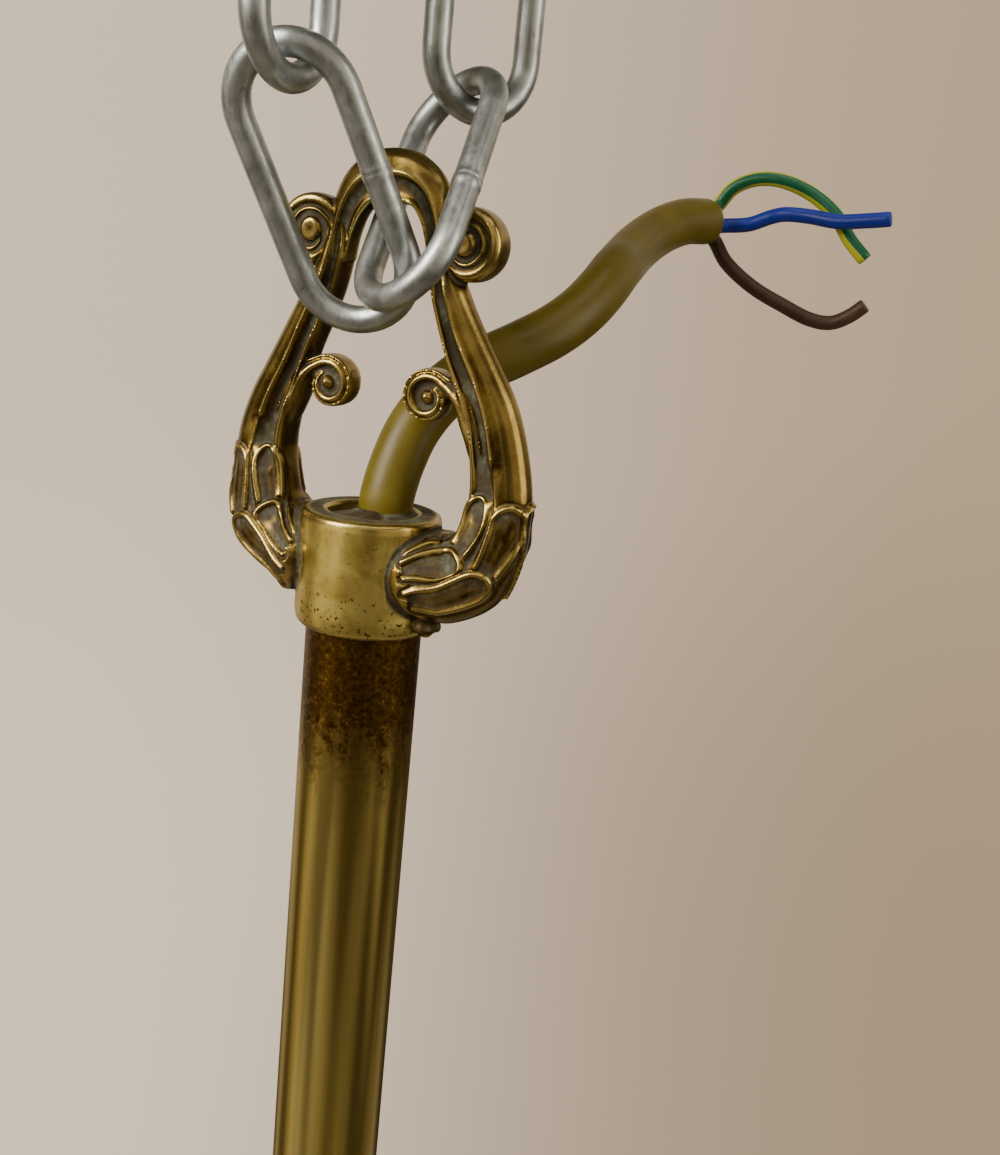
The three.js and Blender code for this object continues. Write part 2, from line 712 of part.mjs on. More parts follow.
function armHub() {
  const outline = [[0, hubLow], ...profile(hubShares, hubDiameter / 2, hubLow, hubHeight), [0, hubTop]];
  let hub = solidOf(turned(outline, 16));
  hub = hub.subtract(solidOf(rod(tieTubeDiameter / 2 + gap, hubLow - overrun, hubTop + overrun, 20)));
  for (let i = 0; i < armCount; i += 1) {
    const socket = rod(branchTenonDiameter / 2 + gap, hubDiameter / 2 - hubSocketDepth, hubDiameter, 12);
    hub = hub.subtract(solidOf(socket.rotateY(Math.PI / 2).translate(0, 0, hubMiddle).rotateZ(armAngle(i))));
  }
  return hub;
}

function hexNut(across, boreDiameter, low, high) {
  const radius = across / 2 / Math.cos(Math.PI / 6);
  const bore = rod(boreDiameter / 2, low - overrun, high + overrun, 16);
  return solidOf(rod(radius, low, high, 6)).subtract(solidOf(bore));
}

function hubNut() {
  return hexNut(hubNutAcross, tieTubeDiameter + 2 * gap, hubLow - gap - hubNutHeight, hubLow - gap);
}

function bowl() {
  const outer = profile(bowlShares, bowlDiameter / 2, bowlLow, bowlHeight);
  const inner = outer.filter(([, height]) => height > bowlLow + bowlFloorHeight)
    .map(([radius, height]) => [radius - bowlWall, height]);
  const floor = bowlLow + bowlFloorHeight;
  const outline = [
    [0, bowlLow], ...outer, ...inner.reverse(), [bowlFloorDiameter / 2, floor], [0, floor],
  ];
  const hole = rod(finialSpigotDiameter / 2 + gap, bowlLow - overrun, floor + overrun, 16);
  return solidOf(turned(outline, 16)).subtract(solidOf(hole));
}

function finial() {
  const drop = turned(profile(finialShares, finialDiameter / 2, finialLow, finialHeight), 12);
  const spigot = rod(finialSpigotDiameter / 2, finialTop - overrun, finialTop + finialSpigotLength, 16);
  return joined([drop, spigot]);
}

function terminalBlock() {
  return new THREE.BoxGeometry(terminalLength, terminalWidth, terminalHeight)
    .translate(0, 0, terminalLow + terminalHeight / 2);
}

// Arms

function armAngle(index) {
  return Math.PI / 2 + (index * 2 * Math.PI) / armCount;
}

// Places along an arm from the hub to the candle: out, up as a share of the dip, width and depth
const branchTableShares = [
  [0.139, 0, 1, 1],
  [0.17, 0.012, 1, 1],
  [0.28, 0.28, 0.98, 1],
  [0.4, 0.12, 1, 1],
  [0.56, -0.56, 1.06, 1.03],
  [0.73, -1.01, 1, 0.97],
  [0.88, -0.86, 0.9, 0.9],
  [0.97, -0.34, 0.84, 0.88],
  [1, 0.12, 0.8, 0.9],
];
const upperCurlShares = [[0.5, -0.26, 1.2, 1], [0.42, -0.18, 1.15, 1], [0.355, -0.14, 1.05, 1]];
const lowerCurlShares = [[0.68, -0.88, 1.2, 1], [0.76, -0.84, 1.15, 1], [0.83, -0.72, 1.05, 1]];
const upperCurlTurn = { fromAngle: 78, toAngle: 400, endShare: 0.32, holdPower: 1.6, steps: 8 };
const lowerCurlTurn = { fromAngle: -58, toAngle: 262, endShare: 0.32, holdPower: 1.6, steps: 8 };
const curlOutlineShares = [[-1, -0.8], [1, -0.8], [1, 0.8], [-1, 0.8]];
const branchOutlineShares = [[-1, -0.42], [-0.2, -1], [1, -0.46], [1, 0.46], [-0.2, 1], [-1, 0.42]];
const branchTop = hubMiddle + branchDip * branchTableShares[branchTableShares.length - 1][1];
const seatTop = branchTop + branchSeatHeight;

function curl(tableShares, turning) {
  const lead = stationsFrom(tableShares, branchSpan, branchDip, branchScrollBand, branchScrollDepth);
  const end = lead[lead.length - 1];
  const turn = THREE.MathUtils.degToRad(turning.fromAngle);
  const turnRadius = branchScrollRadius - branchScrollBand / 2;
  const centre = { x: end.x - turnRadius * Math.cos(turn), z: end.z - turnRadius * Math.sin(turn) };
  const winding = windingStations(centre, branchScrollRadius, branchScrollBand, branchScrollDepth, turning);
  return bar([...lead, ...winding.slice(1)], curlOutlineShares, 1).translate(0, 0, hubMiddle);
}

function branch() {
  const stations = stationsFrom(branchTableShares, branchSpan, branchDip, branchWidth, branchDepth);
  const tenonFrom = hubDiameter / 2 - hubSocketDepth + gap;
  const tenonTo = stations[1].x;
  return joined([
    bar(stations, branchOutlineShares, 2).translate(0, 0, hubMiddle),
    rod(branchTenonDiameter / 2, tenonFrom, tenonTo, 12).rotateY(Math.PI / 2).translate(0, 0, hubMiddle),
    rod(branchSeatDiameter / 2, branchTop - overrun, seatTop, 12).translate(branchSpan, 0, 0),
    rod(branchSpigotDiameter / 2, branchTop, seatTop + branchSpigotLength, 12).translate(branchSpan, 0, 0),
    curl(upperCurlShares, upperCurlTurn),
    curl(lowerCurlShares, lowerCurlTurn),
  ]);
}

const panLow = seatTop + gap;
const cupLow = panLow + panThickness + gap;
const cupFloorTop = cupLow + cupFloor;
const holderLow = cupFloorTop + gap;
const sleeveLow = cupFloorTop + gap;
const sleeveTop = sleeveLow + sleeveHeight;
const holderTop = sleeveTop - holderBelowSleeve;

function dripPan() {
  const hole = branchSpigotDiameter / 2 + gap;
  const rim = panDiameter / 2;
  const flat = rim * panFlatShare;
  const outline = [
    [hole, panLow],
    [flat, panLow],
    [rim, panLow + panRimHeight - panThickness],
    [rim, panLow + panRimHeight],
    [flat, panLow + panThickness],
    [hole, panLow + panThickness],
  ];
  return turned([...outline, outline[0]], 12);
}

function candleCup() {
  const hole = branchSpigotDiameter / 2 + gap;
  const foot = cupFootDiameter / 2;
  const rim = cupDiameter / 2;
  const inside = sleeveDiameter / 2 + gap;
  const outline = [
    [hole, cupLow],
    [foot, cupLow],
    [inside + cupWall, cupLow + cupHeight * cupFullShare],
    [inside + cupWall, cupLow + cupHeight * cupLipShare],
    [rim, cupLow + cupHeight],
    [rim - cupWall, cupLow + cupHeight],
    [inside, cupLow + cupHeight * cupLipShare + cupWall / 2],
    [inside, cupFloorTop],
    [hole, cupFloorTop],
  ];
  return turned([...outline, outline[0]], 12);
}

function candleSleeve() {
  return tube(sleeveDiameter / 2, sleeveDiameter / 2 - sleeveWall, sleeveLow, sleeveTop, 12);
}

function lampholder() {
  const skirt = holderSkirtDiameter / 2;
  const body = holderDiameter / 2;
  const bore = holderBore / 2;
  const screwHole = branchSpigotDiameter / 2 + gap;
  const spigotTop = seatTop + branchSpigotLength + gap;
  const socketFloor = holderTop - holderSocketDepth;
  const outline = [
    [screwHole, holderLow],
    [skirt, holderLow],
    [skirt, socketFloor - holderSkirtDrop],
    [body, socketFloor - holderShoulderDrop],
    [body, holderTop],
    [bore, holderTop],
    [bore, socketFloor],
    [0, socketFloor],
    [0, spigotTop],
    [screwHole, spigotTop],
  ];
  return turned([...outline.slice(7), ...outline.slice(0, 8)], 12);
}

// The whole chandelier, lowered so that the plate meets the ceiling plane

const chandelier = new THREE.Group();
const hanging = new THREE.Group();
hanging.position.z = -ceilingHeight;
chandelier.add(hanging);

hanging.add(
  piece('ceiling_plate', ceilingPlate(), zinc),
  piece('hanger_staple_front', hangerStaple(-1), zinc),
  piece('hanger_staple_back', hangerStaple(1), zinc),
  ...cornerSides.map((corner, i) => piece(`staple_nut_${i + 1}`, stapleNut(corner), zinc)),
  linkMesh('link_front_upper', frontUpper),
  linkMesh('link_front_lower', frontLower),
  linkMesh('link_back_lower', backLower),
  linkMesh('link_back_upper', backUpper),
  piece('lyre_hanger', lyreHanger(), brass),
  piece('cable_free', cord(cableRoute, cableDiameter, 10, 18), oliveSheath),
  piece('core_earth', cord(earthRoute, coreDiameter, 6, 12), earthSheath),
  piece('core_blue', cord(blueRoute, coreDiameter, 6, 10), blueSheath),
  piece('core_brown', cord(brownRoute, coreDiameter, 6, 10), brownSheath),
  piece('stem_tube', tube(stemDiameter / 2, stemDiameter / 2 - stemWall, stemLow, stemTop, 24), lacquerBrass),
  piece('cable_in_stem', cableInStem(), oliveSheath),
  piece('terminal_block', terminalBlock(), holderBlack),
  piece('stem_vase', stemVase(), wornBrass),
  piece('tie_tube', tube(tieTubeDiameter / 2, tieTubeBore / 2, tieLow, tieTop, 16), zinc),
  piece('arm_hub', armHub(), wornBrass),
  piece('hub_nut', hubNut(), zinc),
  piece('bowl', bowl(), wornBrass),
  piece('finial', finial(), wornBrass),
);

for (let i = 0; i < armCount; i += 1) {
  const spoke = new THREE.Group();
  spoke.rotation.z = armAngle(i);
  const stack = new THREE.Group();
  stack.position.x = branchSpan;
  stack.add(
    piece(`drip_pan_${i + 1}`, dripPan(), wornBrass),
    piece(`candle_cup_${i + 1}`, candleCup(), wornBrass),
    piece(`lampholder_${i + 1}`, lampholder(), holderBlack),
    piece(`candle_sleeve_${i + 1}`, candleSleeve(), candleIvory),
  );
  spoke.add(piece(`arm_${i + 1}`, branch(), brass), stack);
  hanging.add(spoke);
}

export default chandelier;
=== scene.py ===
import math

import bmesh
import bpy
import numpy as np
from mathutils import Matrix, Vector


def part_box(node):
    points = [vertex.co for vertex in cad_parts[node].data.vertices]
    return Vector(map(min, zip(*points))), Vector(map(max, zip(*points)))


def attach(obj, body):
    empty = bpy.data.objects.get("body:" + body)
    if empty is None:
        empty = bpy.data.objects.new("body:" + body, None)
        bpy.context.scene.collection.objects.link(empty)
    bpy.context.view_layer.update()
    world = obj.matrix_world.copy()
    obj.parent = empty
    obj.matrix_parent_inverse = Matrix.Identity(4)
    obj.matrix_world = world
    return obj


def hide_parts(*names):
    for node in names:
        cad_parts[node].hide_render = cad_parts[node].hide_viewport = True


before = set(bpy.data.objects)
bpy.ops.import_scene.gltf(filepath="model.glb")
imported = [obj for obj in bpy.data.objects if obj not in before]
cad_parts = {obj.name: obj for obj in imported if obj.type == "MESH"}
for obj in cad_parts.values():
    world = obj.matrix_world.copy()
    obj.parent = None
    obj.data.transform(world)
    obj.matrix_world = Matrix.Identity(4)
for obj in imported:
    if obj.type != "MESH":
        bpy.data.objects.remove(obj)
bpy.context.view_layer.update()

# Lengths in metres. The lyre, links and cable are drawn in millimetres from the top face of the collar.
MM = 0.001
COLLAR_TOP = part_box("lyre_hanger")[0].z + 14 * MM
STEM_AXIS = Vector((0, 0, COLLAR_TOP))

COLLAR_RADIUS = 8.5
COLLAR_HEIGHT = 14.0
CABLE_DIAMETER = 6.5
CORE_DIAMETER = 2.1
LINK_WIRE = 3.2
LINK_INNER_WIDTH = 9.4
LINK_INNER_LENGTH = 27.0
STEM_RADIUS = 7.0
ARM_COUNT = 5
BRANCH_SPAN = 195.0
BRANCH_DIP = 42.0
GAP = 0.3
SMOOTH_TURN = math.cos(math.radians(22))


def from_collar(point):
    return STEM_AXIS + Vector(point) * MM


# Making of meshes


def mesh_object(name, points, faces, material=None):
    mesh = bpy.data.meshes.new(name)
    mesh.from_pydata([tuple(p) for p in points], [], faces)
    mesh.update()
    made = bpy.data.objects.new(name, mesh)
    bpy.context.scene.collection.objects.link(made)
    mesh.polygons.foreach_set("use_smooth", [True] * len(mesh.polygons))
    if material:
        mesh.materials.append(material)
    return made


def skin(rings, loop=False):
    """Points and faces over rings of points, with a fan at each end or closed into a loop."""
    sides = len(rings[0])
    points = [p for ring in rings for p in ring]
    faces = []
    for i in range(len(rings) if loop else len(rings) - 1):
        here, there = i * sides, (i + 1) % len(rings) * sides
        for j in range(sides):
            k = (j + 1) % sides
            faces.append((here + j, here + k, there + k, there + j))
    if not loop:
        for end, start in ((0, 0), (1, (len(rings) - 1) * sides)):
            points.append(np.mean([rings[-end][j] for j in range(sides)], axis=0))
            middle = len(points) - 1
            for j in range(sides):
                pair = (start + j, start + (j + 1) % sides)
                faces.append((middle, *(pair if end else pair[::-1])))
    return points, faces


def facing_out(points, faces):
    """Turns a closed shell round if its faces point inwards."""
    places = np.array([tuple(p) for p in points])
    volume = 0.0
    for face in faces:
        for i in range(1, len(face) - 1):
            a, b, c = places[face[0]], places[face[i]], places[face[i + 1]]
            volume += np.dot(a, np.cross(b, c))
    return points, faces if volume >= 0 else [face[::-1] for face in faces]


def smooth_route(points, steps):
    """A Catmull-Rom curve through the points, with that many steps to each span."""
    places = [np.array(p, float) for p in points]
    places = [2 * places[0] - places[1]] + places + [2 * places[-1] - places[-2]]
    route = []
    for i in range(1, len(places) - 2):
        a, b, c, d = places[i - 1 : i + 3]
        knots = [0.0]
        for p, q in ((a, b), (b, c), (c, d)):
            knots.append(knots[-1] + max(np.linalg.norm(q - p), 1e-9) ** 0.5)
        for step in range(steps):
            t = knots[1] + (knots[2] - knots[1]) * step / steps
            pairs = [(a, b, 0, 1), (b, c, 1, 2), (c, d, 2, 3)]
            first = [
                ((knots[n] - t) * p + (t - knots[m]) * q) / (knots[n] - knots[m])
                for p, q, m, n in pairs
            ]
            second = [
                ((knots[n] - t) * first[m] + (t - knots[m]) * first[m + 1]) / (knots[n] - knots[m])
                for m, n in ((0, 2), (1, 3))
            ]
            route.append(((knots[2] - t) * second[0] + (t - knots[1]) * second[1]) / (knots[2] - knots[1]))
    route.append(places[-2])
    return route


def softened(outline, radius, steps=4, closed=False):
    """An outline of [radius, height] points with its corners rounded."""
    points = [np.array(p, float) for p in outline]
    count = len(points)
    result = []
    for i, corner in enumerate(points):
        if not closed and i in (0, count - 1):
            result.append(corner)
            continue
        back, ahead = points[i - 1] - corner, points[(i + 1) % count] - corner
        reach = min(radius, 0.4 * np.linalg.norm(back), 0.4 * np.linalg.norm(ahead))
        back, ahead = (way / max(np.linalg.norm(way), 1e-9) for way in (back, ahead))
        if -np.dot(back, ahead) > SMOOTH_TURN:
            result.append(corner)
            continue
        # A short flat beside the rounding keeps the light on the broad faces even
        result.append(corner + back * reach * 1.2)
        for step in range(steps + 1):
            t = step / steps
            result.append(corner + back * reach * (1 - t) ** 2 + ahead * reach * t * t)
        result.append(corner + ahead * reach * 1.2)
    return result


def turned(outline, sides=96, closed=False):
    """A shape turned about the stem's axis: a ring if closed, or else from axis to axis."""
    rings = []
    points, faces = [], []
    for radius, height in outline:
        if radius < 1e-6 and not closed:
            rings.append([len(points)])
            points.append((0.0, 0.0, height))
            continue
        rings.append(list(range(len(points), len(points) + sides)))
        for j in range(sides):
            turn = 2 * math.pi * j / sides
            points.append((radius * math.cos(turn), radius * math.sin(turn), height))
    for i in range(len(rings) if closed else len(rings) - 1):
        low, high = rings[i], rings[(i + 1) % len(rings)]
        for j in range(sides):
            k = (j + 1) % sides
            if len(low) == 1 and len(high) > 1:
                faces.append((low[0], high[k], high[j]))
            elif len(high) == 1 and len(low) > 1:
                faces.append((low[j], low[k], high[0]))
            elif len(low) > 1:
                faces.append((low[j], low[k], high[k], high[j]))
    return facing_out(points, faces)


def turned_piece(name, outline, material, rounding=0.5, sides=96, closed=False, centre=(0, 0), steps=4):
    outline = softened(outline, rounding, steps, closed)
    points, faces = turned(outline, sides, closed)
    middle = Vector((centre[0], centre[1], 0))
    return mesh_object(name, [from_collar(Vector(p) + middle) for p in points], faces, material)


def fused(name, shells, voxel, rounds):
    """One casting out of closed shells: they are joined, remeshed and smoothed."""
    points, faces = [], []
    for shell_points, shell_faces in shells:
        shell_points, shell_faces = facing_out(shell_points, shell_faces)
        shift = len(points)
        points += [from_collar(p) for p in shell_points]
        faces += [tuple(v + shift for v in face) for face in shell_faces]
    rough = mesh_object(name + "_rough", points, faces)
    remesh = rough.modifiers.new("remesh", "REMESH")
    remesh.mode = "VOXEL"
    remesh.voxel_size = voxel * MM
    relax = rough.modifiers.new("relax", "SMOOTH")
    relax.factor = 0.5
    relax.iterations = rounds
    return applied(rough, name)


def thinned(piece, material, limit=190000):
    """The same piece with no more triangles than the limit, shaded smooth."""
    name = piece.name
    triangles = 2 * len(piece.data.polygons)
    if triangles > limit:
        thin = piece.modifiers.new("thin", "DECIMATE")
        thin.ratio = limit / triangles
        piece = applied(piece, name)
    piece.data.materials.clear()
    piece.data.materials.append(material)
    piece.data.polygons.foreach_set("use_smooth", [True] * len(piece.data.polygons))
    return piece


def applied(source, name):
    """A plain mesh of an object with its modifiers applied. The source goes."""
    evaluated = source.evaluated_get(bpy.context.evaluated_depsgraph_get())
    mesh = bpy.data.meshes.new_from_object(evaluated)
    bpy.data.objects.remove(source)
    made = bpy.data.objects.new(name, mesh)
    made.name = name
    mesh.name = name
    bpy.context.scene.collection.objects.link(made)
    return made


def mark_relief(piece, near, rounds):
    """Stores how far each point stands over its surroundings: over one half on ridges, under in grooves."""
    mesh = piece.data
    count = len(mesh.vertices)
    places = np.empty(count * 3)
    mesh.vertices.foreach_get("co", places)
    places = places.reshape(-1, 3)
    edges = np.empty(len(mesh.edges) * 2, dtype=int)
    mesh.edges.foreach_get("vertices", edges)
    edges = edges.reshape(-1, 2)
    normals = np.empty(count * 3)
    mesh.vertices.foreach_get("normal", normals)
    normals = normals.reshape(-1, 3)
    links = np.bincount(edges.ravel(), minlength=count)[:, None]
    soft = places.copy()
    for _ in range(rounds):
        total = np.zeros_like(soft)
        for axis in range(3):
            total[:, axis] += np.bincount(edges[:, 0], soft[edges[:, 1], axis], count)
            total[:, axis] += np.bincount(edges[:, 1], soft[edges[:, 0], axis], count)
        soft = total / np.maximum(links, 1)
    height = ((places - soft) * normals).sum(axis=1) / (near * MM)
    relief = mesh.attributes.new("relief", "FLOAT", "POINT")
    relief.data.foreach_set("value", np.clip(0.5 + 0.5 * height, 0, 1).astype(np.float32))


def put(piece, body, slot, *nodes):
    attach(piece, body)
    if nodes:
        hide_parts(*nodes)
    return piece


# Materials


class Shader:
    """Short words for building a material's nodes."""

    def __init__(self, name):
        self.material = bpy.data.materials.new(name)
        self.material.use_nodes = True
        self.tree = self.material.node_tree
        self.surface = self.tree.nodes["Principled BSDF"]
        coordinate = self.tree.nodes.new("ShaderNodeTexCoord")
        self.place = coordinate.outputs["Object"]

    def node(self, kind, **values):
        made = self.tree.nodes.new(kind)
        for key, value in values.items():
            if key in made.inputs:
                made.inputs[key].default_value = value
            else:
                setattr(made, key, value)
        return made

    def join(self, source, target):
        self.tree.links.new(source, target)

    def set_input(self, socket, value):
        """Joins a node's result to a socket, or sets a number or a colour on it."""
        if isinstance(value, bpy.types.NodeSocket):
            self.join(value, socket)
        elif isinstance(value, (tuple, list)):
            socket.default_value = (*value, 1)
        else:
            socket.default_value = value

    def stretched(self, scale):
        mapping = self.node("ShaderNodeMapping")
        mapping.inputs["Scale"].default_value = scale
        self.join(self.place, mapping.inputs["Vector"])
        return mapping.outputs["Vector"]

    def noise(self, scale, detail=4.0, rough=0.55, place=None, warp=0.0):
        made = self.node("ShaderNodeTexNoise")
        made.inputs["Scale"].default_value = scale
        made.inputs["Detail"].default_value = detail
        made.inputs["Roughness"].default_value = rough
        made.inputs["Distortion"].default_value = warp
        self.join(place or self.place, made.inputs["Vector"])
        return made.outputs["Fac"]

    def ramp(self, factor, stops):
        made = self.node("ShaderNodeValToRGB")
        band = made.color_ramp
        while len(band.elements) < len(stops):
            band.elements.new(0.5)
        for element, (position, colour) in zip(band.elements, stops):
            element.position = position
            if not isinstance(colour, (tuple, list)):
                colour = (colour, colour, colour)
            element.color = (*colour, 1)
        self.join(factor, made.inputs["Fac"])
        return made.outputs["Color"]

    def mix(self, factor, first, second, blend="MIX"):
        made = self.node("ShaderNodeMix", data_type="RGBA", blend_type=blend)
        # The node keeps its colour sockets beside its number and vector sockets
        self.set_input(made.inputs[0], factor)
        self.set_input(made.inputs[6], first)
        self.set_input(made.inputs[7], second)
        return made.outputs[2]

    def sum(self, first, second, operation="ADD"):
        made = self.node("ShaderNodeMath", operation=operation)
        self.set_input(made.inputs[0], first)
        self.set_input(made.inputs[1], second)
        return made.outputs[0]

    def bump(self, height, distance, strength=1.0, under=None):
        made = self.node("ShaderNodeBump")
        made.inputs["Distance"].default_value = distance
        made.inputs["Strength"].default_value = strength
        self.join(height, made.inputs["Height"])
        if under:
            self.join(under, made.inputs["Normal"])
        return made.outputs["Normal"]

    def attribute(self, name):
        return self.node("ShaderNodeAttribute", attribute_name=name).outputs["Fac"]

    def finish(self, colour, metal, rough, normal):
        self.set_input(self.surface.inputs["Base Color"], colour)
        self.set_input(self.surface.inputs["Metallic"], metal)
        self.set_input(self.surface.inputs["Roughness"], rough)
        self.set_input(self.surface.inputs["Normal"], normal)
        return self.material


def cast_brass(name):
    """Old cast brass: worn bright on the ridges, brown between them, grey-green in the grooves."""
    s = Shader(name)
    relief = s.attribute("relief")
    cloud = s.noise(260, 5, 0.6, warp=0.4)
    fine = s.noise(1900, 4, 0.65)
    high = s.sum(relief, s.sum(cloud, 0.1, "MULTIPLY"))
    worn = s.ramp(high, [(0.58, 0.0), (0.72, 0.35), (0.92, 0.9)])
    low = s.sum(relief, s.sum(s.noise(900, 4, 0.6), 0.16, "MULTIPLY"))
    groove = s.ramp(s.sum(low, s.attribute("grime"), "SUBTRACT"), [(0.34, 1.0), (0.52, 0.0)])
    dark, middle, light = (0.045, 0.024, 0.004), (0.125, 0.075, 0.013), (0.22, 0.145, 0.028)
    body = s.ramp(cloud, [(0.3, dark), (0.5, middle), (0.7, light)])
    golden = s.ramp(cloud, [(0.3, (0.6, 0.43, 0.075)), (0.6, (1.0, 0.82, 0.24))])
    body = s.mix(s.attribute("rubbed"), body, golden)
    bright = s.mix(worn, body, (0.5, 0.38, 0.12))
    spots = s.sum(fine, s.sum(s.attribute("pitting"), 0.09, "MULTIPLY"), "SUBTRACT")
    pits = s.ramp(spots, [(0.27, 0.0), (0.34, 1.0)])
    pitted = s.mix(pits, (0.03, 0.017, 0.006), bright)
    green = s.ramp(fine, [(0.35, (0.045, 0.043, 0.02)), (0.65, (0.13, 0.132, 0.078))])
    patches = s.ramp(s.noise(420, 4, 0.6), [(0.44, 0.0), (0.62, 1.0)])
    soil = s.mix(patches, (0.04, 0.027, 0.009), green)
    colour = s.mix(groove, pitted, soil)
    metal = s.ramp(groove, [(0.0, 0.97), (1.0, 0.1)])
    dull = s.sum(s.sum(cloud, 0.3, "MULTIPLY"), s.sum(s.attribute("rubbed"), 0.15, "MULTIPLY"))
    rough = s.ramp(s.sum(groove, dull), [(0.0, 0.2), (0.3, 0.32), (1.0, 0.75)])
    under = s.bump(fine, 0.00003, 0.5)
    normal = s.bump(cloud, 0.0001, 0.35, under)
    return s.finish(colour, metal, rough, normal)


def turned_brass(name):
    """Spun and turned brass with a soft old polish."""
    s = Shader(name)
    cloud = s.noise(70, 5, 0.6, warp=0.5)
    fine = s.noise(1500, 3, 0.6)
    lines = s.noise(900, 2, 0.5, s.stretched((0.05, 0.05, 1.0)))
    dark, middle, light = (0.2, 0.125, 0.035), (0.4, 0.28, 0.09), (0.55, 0.41, 0.16)
    colour = s.ramp(cloud, [(0.28, dark), (0.5, middle), (0.72, light)])
    spots = s.ramp(s.noise(600, 4, 0.7), [(0.26, 0.0), (0.33, 1.0)])
    colour = s.mix(spots, (0.09, 0.055, 0.02), colour)
    rough = s.ramp(cloud, [(0.3, 0.4), (0.7, 0.22)])
    normal = s.bump(lines, 0.00002, 0.3, s.bump(fine, 0.00002, 0.3))
    return s.finish(colour, 0.96, rough, normal)


def stem_lacquer(name):
    """Polished tube under old lacquer: patchy dark brown at the top, then yellow-green with streaks."""
    s = Shader(name)
    split = s.node("ShaderNodeSeparateXYZ")
    s.join(s.place, split.inputs["Vector"])
    depth = s.sum(s.sum(COLLAR_TOP, split.outputs["Z"], "SUBTRACT"), 1000.0, "MULTIPLY")
    patch = s.noise(330, 6, 0.68, s.stretched((1, 1, 0.55)), 0.6)
    speckle = s.noise(1500, 5, 0.7)
    edge = s.sum(depth, s.sum(s.sum(patch, -0.5), 26.0, "MULTIPLY"))
    edge = s.sum(edge, s.sum(s.sum(speckle, -0.5), 9.0, "MULTIPLY"))
    scaled = s.sum(edge, 0.02, "MULTIPLY")
    dark = s.ramp(scaled, [(0.5, 1.0), (0.7, 0.15), (0.84, 0.0)])
    streak = s.noise(240, 4, 0.6, s.stretched((1, 1, 0.03)))
    dim, middle, clear = (0.42, 0.3, 0.065), (0.66, 0.52, 0.15), (0.78, 0.64, 0.22)
    polished = s.ramp(streak, [(0.3, dim), (0.5, middle), (0.68, clear)])
    deep, warm, flake = (0.04, 0.016, 0.002), (0.15, 0.075, 0.01), (0.36, 0.24, 0.04)
    brown = s.ramp(speckle, [(0.35, deep), (0.58, warm), (0.72, flake)])
    colour = s.mix(dark, polished, brown)
    fleck = s.ramp(s.noise(420, 5, 0.72, s.stretched((1, 1, 0.5))), [(0.24, 0.0), (0.29, 1.0)])
    colour = s.mix(fleck, (0.05, 0.025, 0.008), colour)
    rough = s.mix(dark, (0.17, 0.17, 0.17), (0.38, 0.38, 0.38))
    normal = s.bump(speckle, 0.00002, 0.25, s.bump(streak, 0.00003, 0.2))
    return s.finish(colour, 0.94, rough, normal)


def zinc_plate(name):
    """Satin zinc on drawn steel wire: grey with fine scuffs."""
    s = Shader(name)
    cloud = s.noise(300, 5, 0.6, warp=0.3)
    scuff = s.noise(1700, 4, 0.7, s.stretched((1, 1, 0.3)))
    colour = s.ramp(cloud, [(0.3, (0.3, 0.32, 0.31)), (0.5, (0.42, 0.45, 0.44)), (0.72, (0.56, 0.6, 0.6))])
    stain = s.ramp(s.noise(700, 4, 0.7), [(0.27, 0.0), (0.34, 1.0)])
    colour = s.mix(stain, (0.17, 0.15, 0.11), colour)
    rough = s.ramp(scuff, [(0.3, 0.3), (0.7, 0.48)])
    normal = s.bump(scuff, 0.00003, 0.45, s.bump(cloud, 0.0001, 0.3))
    return s.finish(colour, 0.92, rough, normal)


def sheath(name, colour, worn, rough=0.42):
    """Soft plastic sheath with a faint grain and handling marks."""
    s = Shader(name)
    cloud = s.noise(160, 4, 0.55, warp=0.3)
    grain = s.noise(2600, 3, 0.6)
    base = s.ramp(cloud, [(0.3, colour), (0.75, worn)])
    roughness = s.ramp(cloud, [(0.3, rough), (0.7, rough + 0.14)])
    normal = s.bump(grain, 0.00003, 0.5, s.bump(s.noise(420, 3, 0.5), 0.0001, 0.5))
    s.surface.inputs["Specular IOR Level"].default_value = 0.4
    return s.finish(base, 0.0, roughness, normal)


def striped_sheath(name, ground, stripe):
    """A core's sheath with a lengthwise stripe on two sides."""
    s = Shader(name)
    band = s.attribute("stripe")
    cut = s.ramp(band, [(0.47, 0.0), (0.53, 1.0)])
    grain = s.noise(2600, 3, 0.6)
    normal = s.bump(grain, 0.00001, 0.3)
    return s.finish(s.mix(cut, ground, stripe), 0.0, 0.38, normal)


def plain(name, dark, light, rough, scale):
    """A quiet finish with soft clouds and a fine grain."""
    s = Shader(name)
    cloud = s.noise(scale, 4, 0.55)
    colour = s.ramp(cloud, [(0.3, dark), (0.7, light)])
    normal = s.bump(s.noise(scale * 10, 3, 0.6), 0.00003, 0.3)
    roughness = s.ramp(cloud, [(0.3, rough), (0.7, min(rough + 0.12, 1.0))])
    return s.finish(colour, 0.0, roughness, normal)


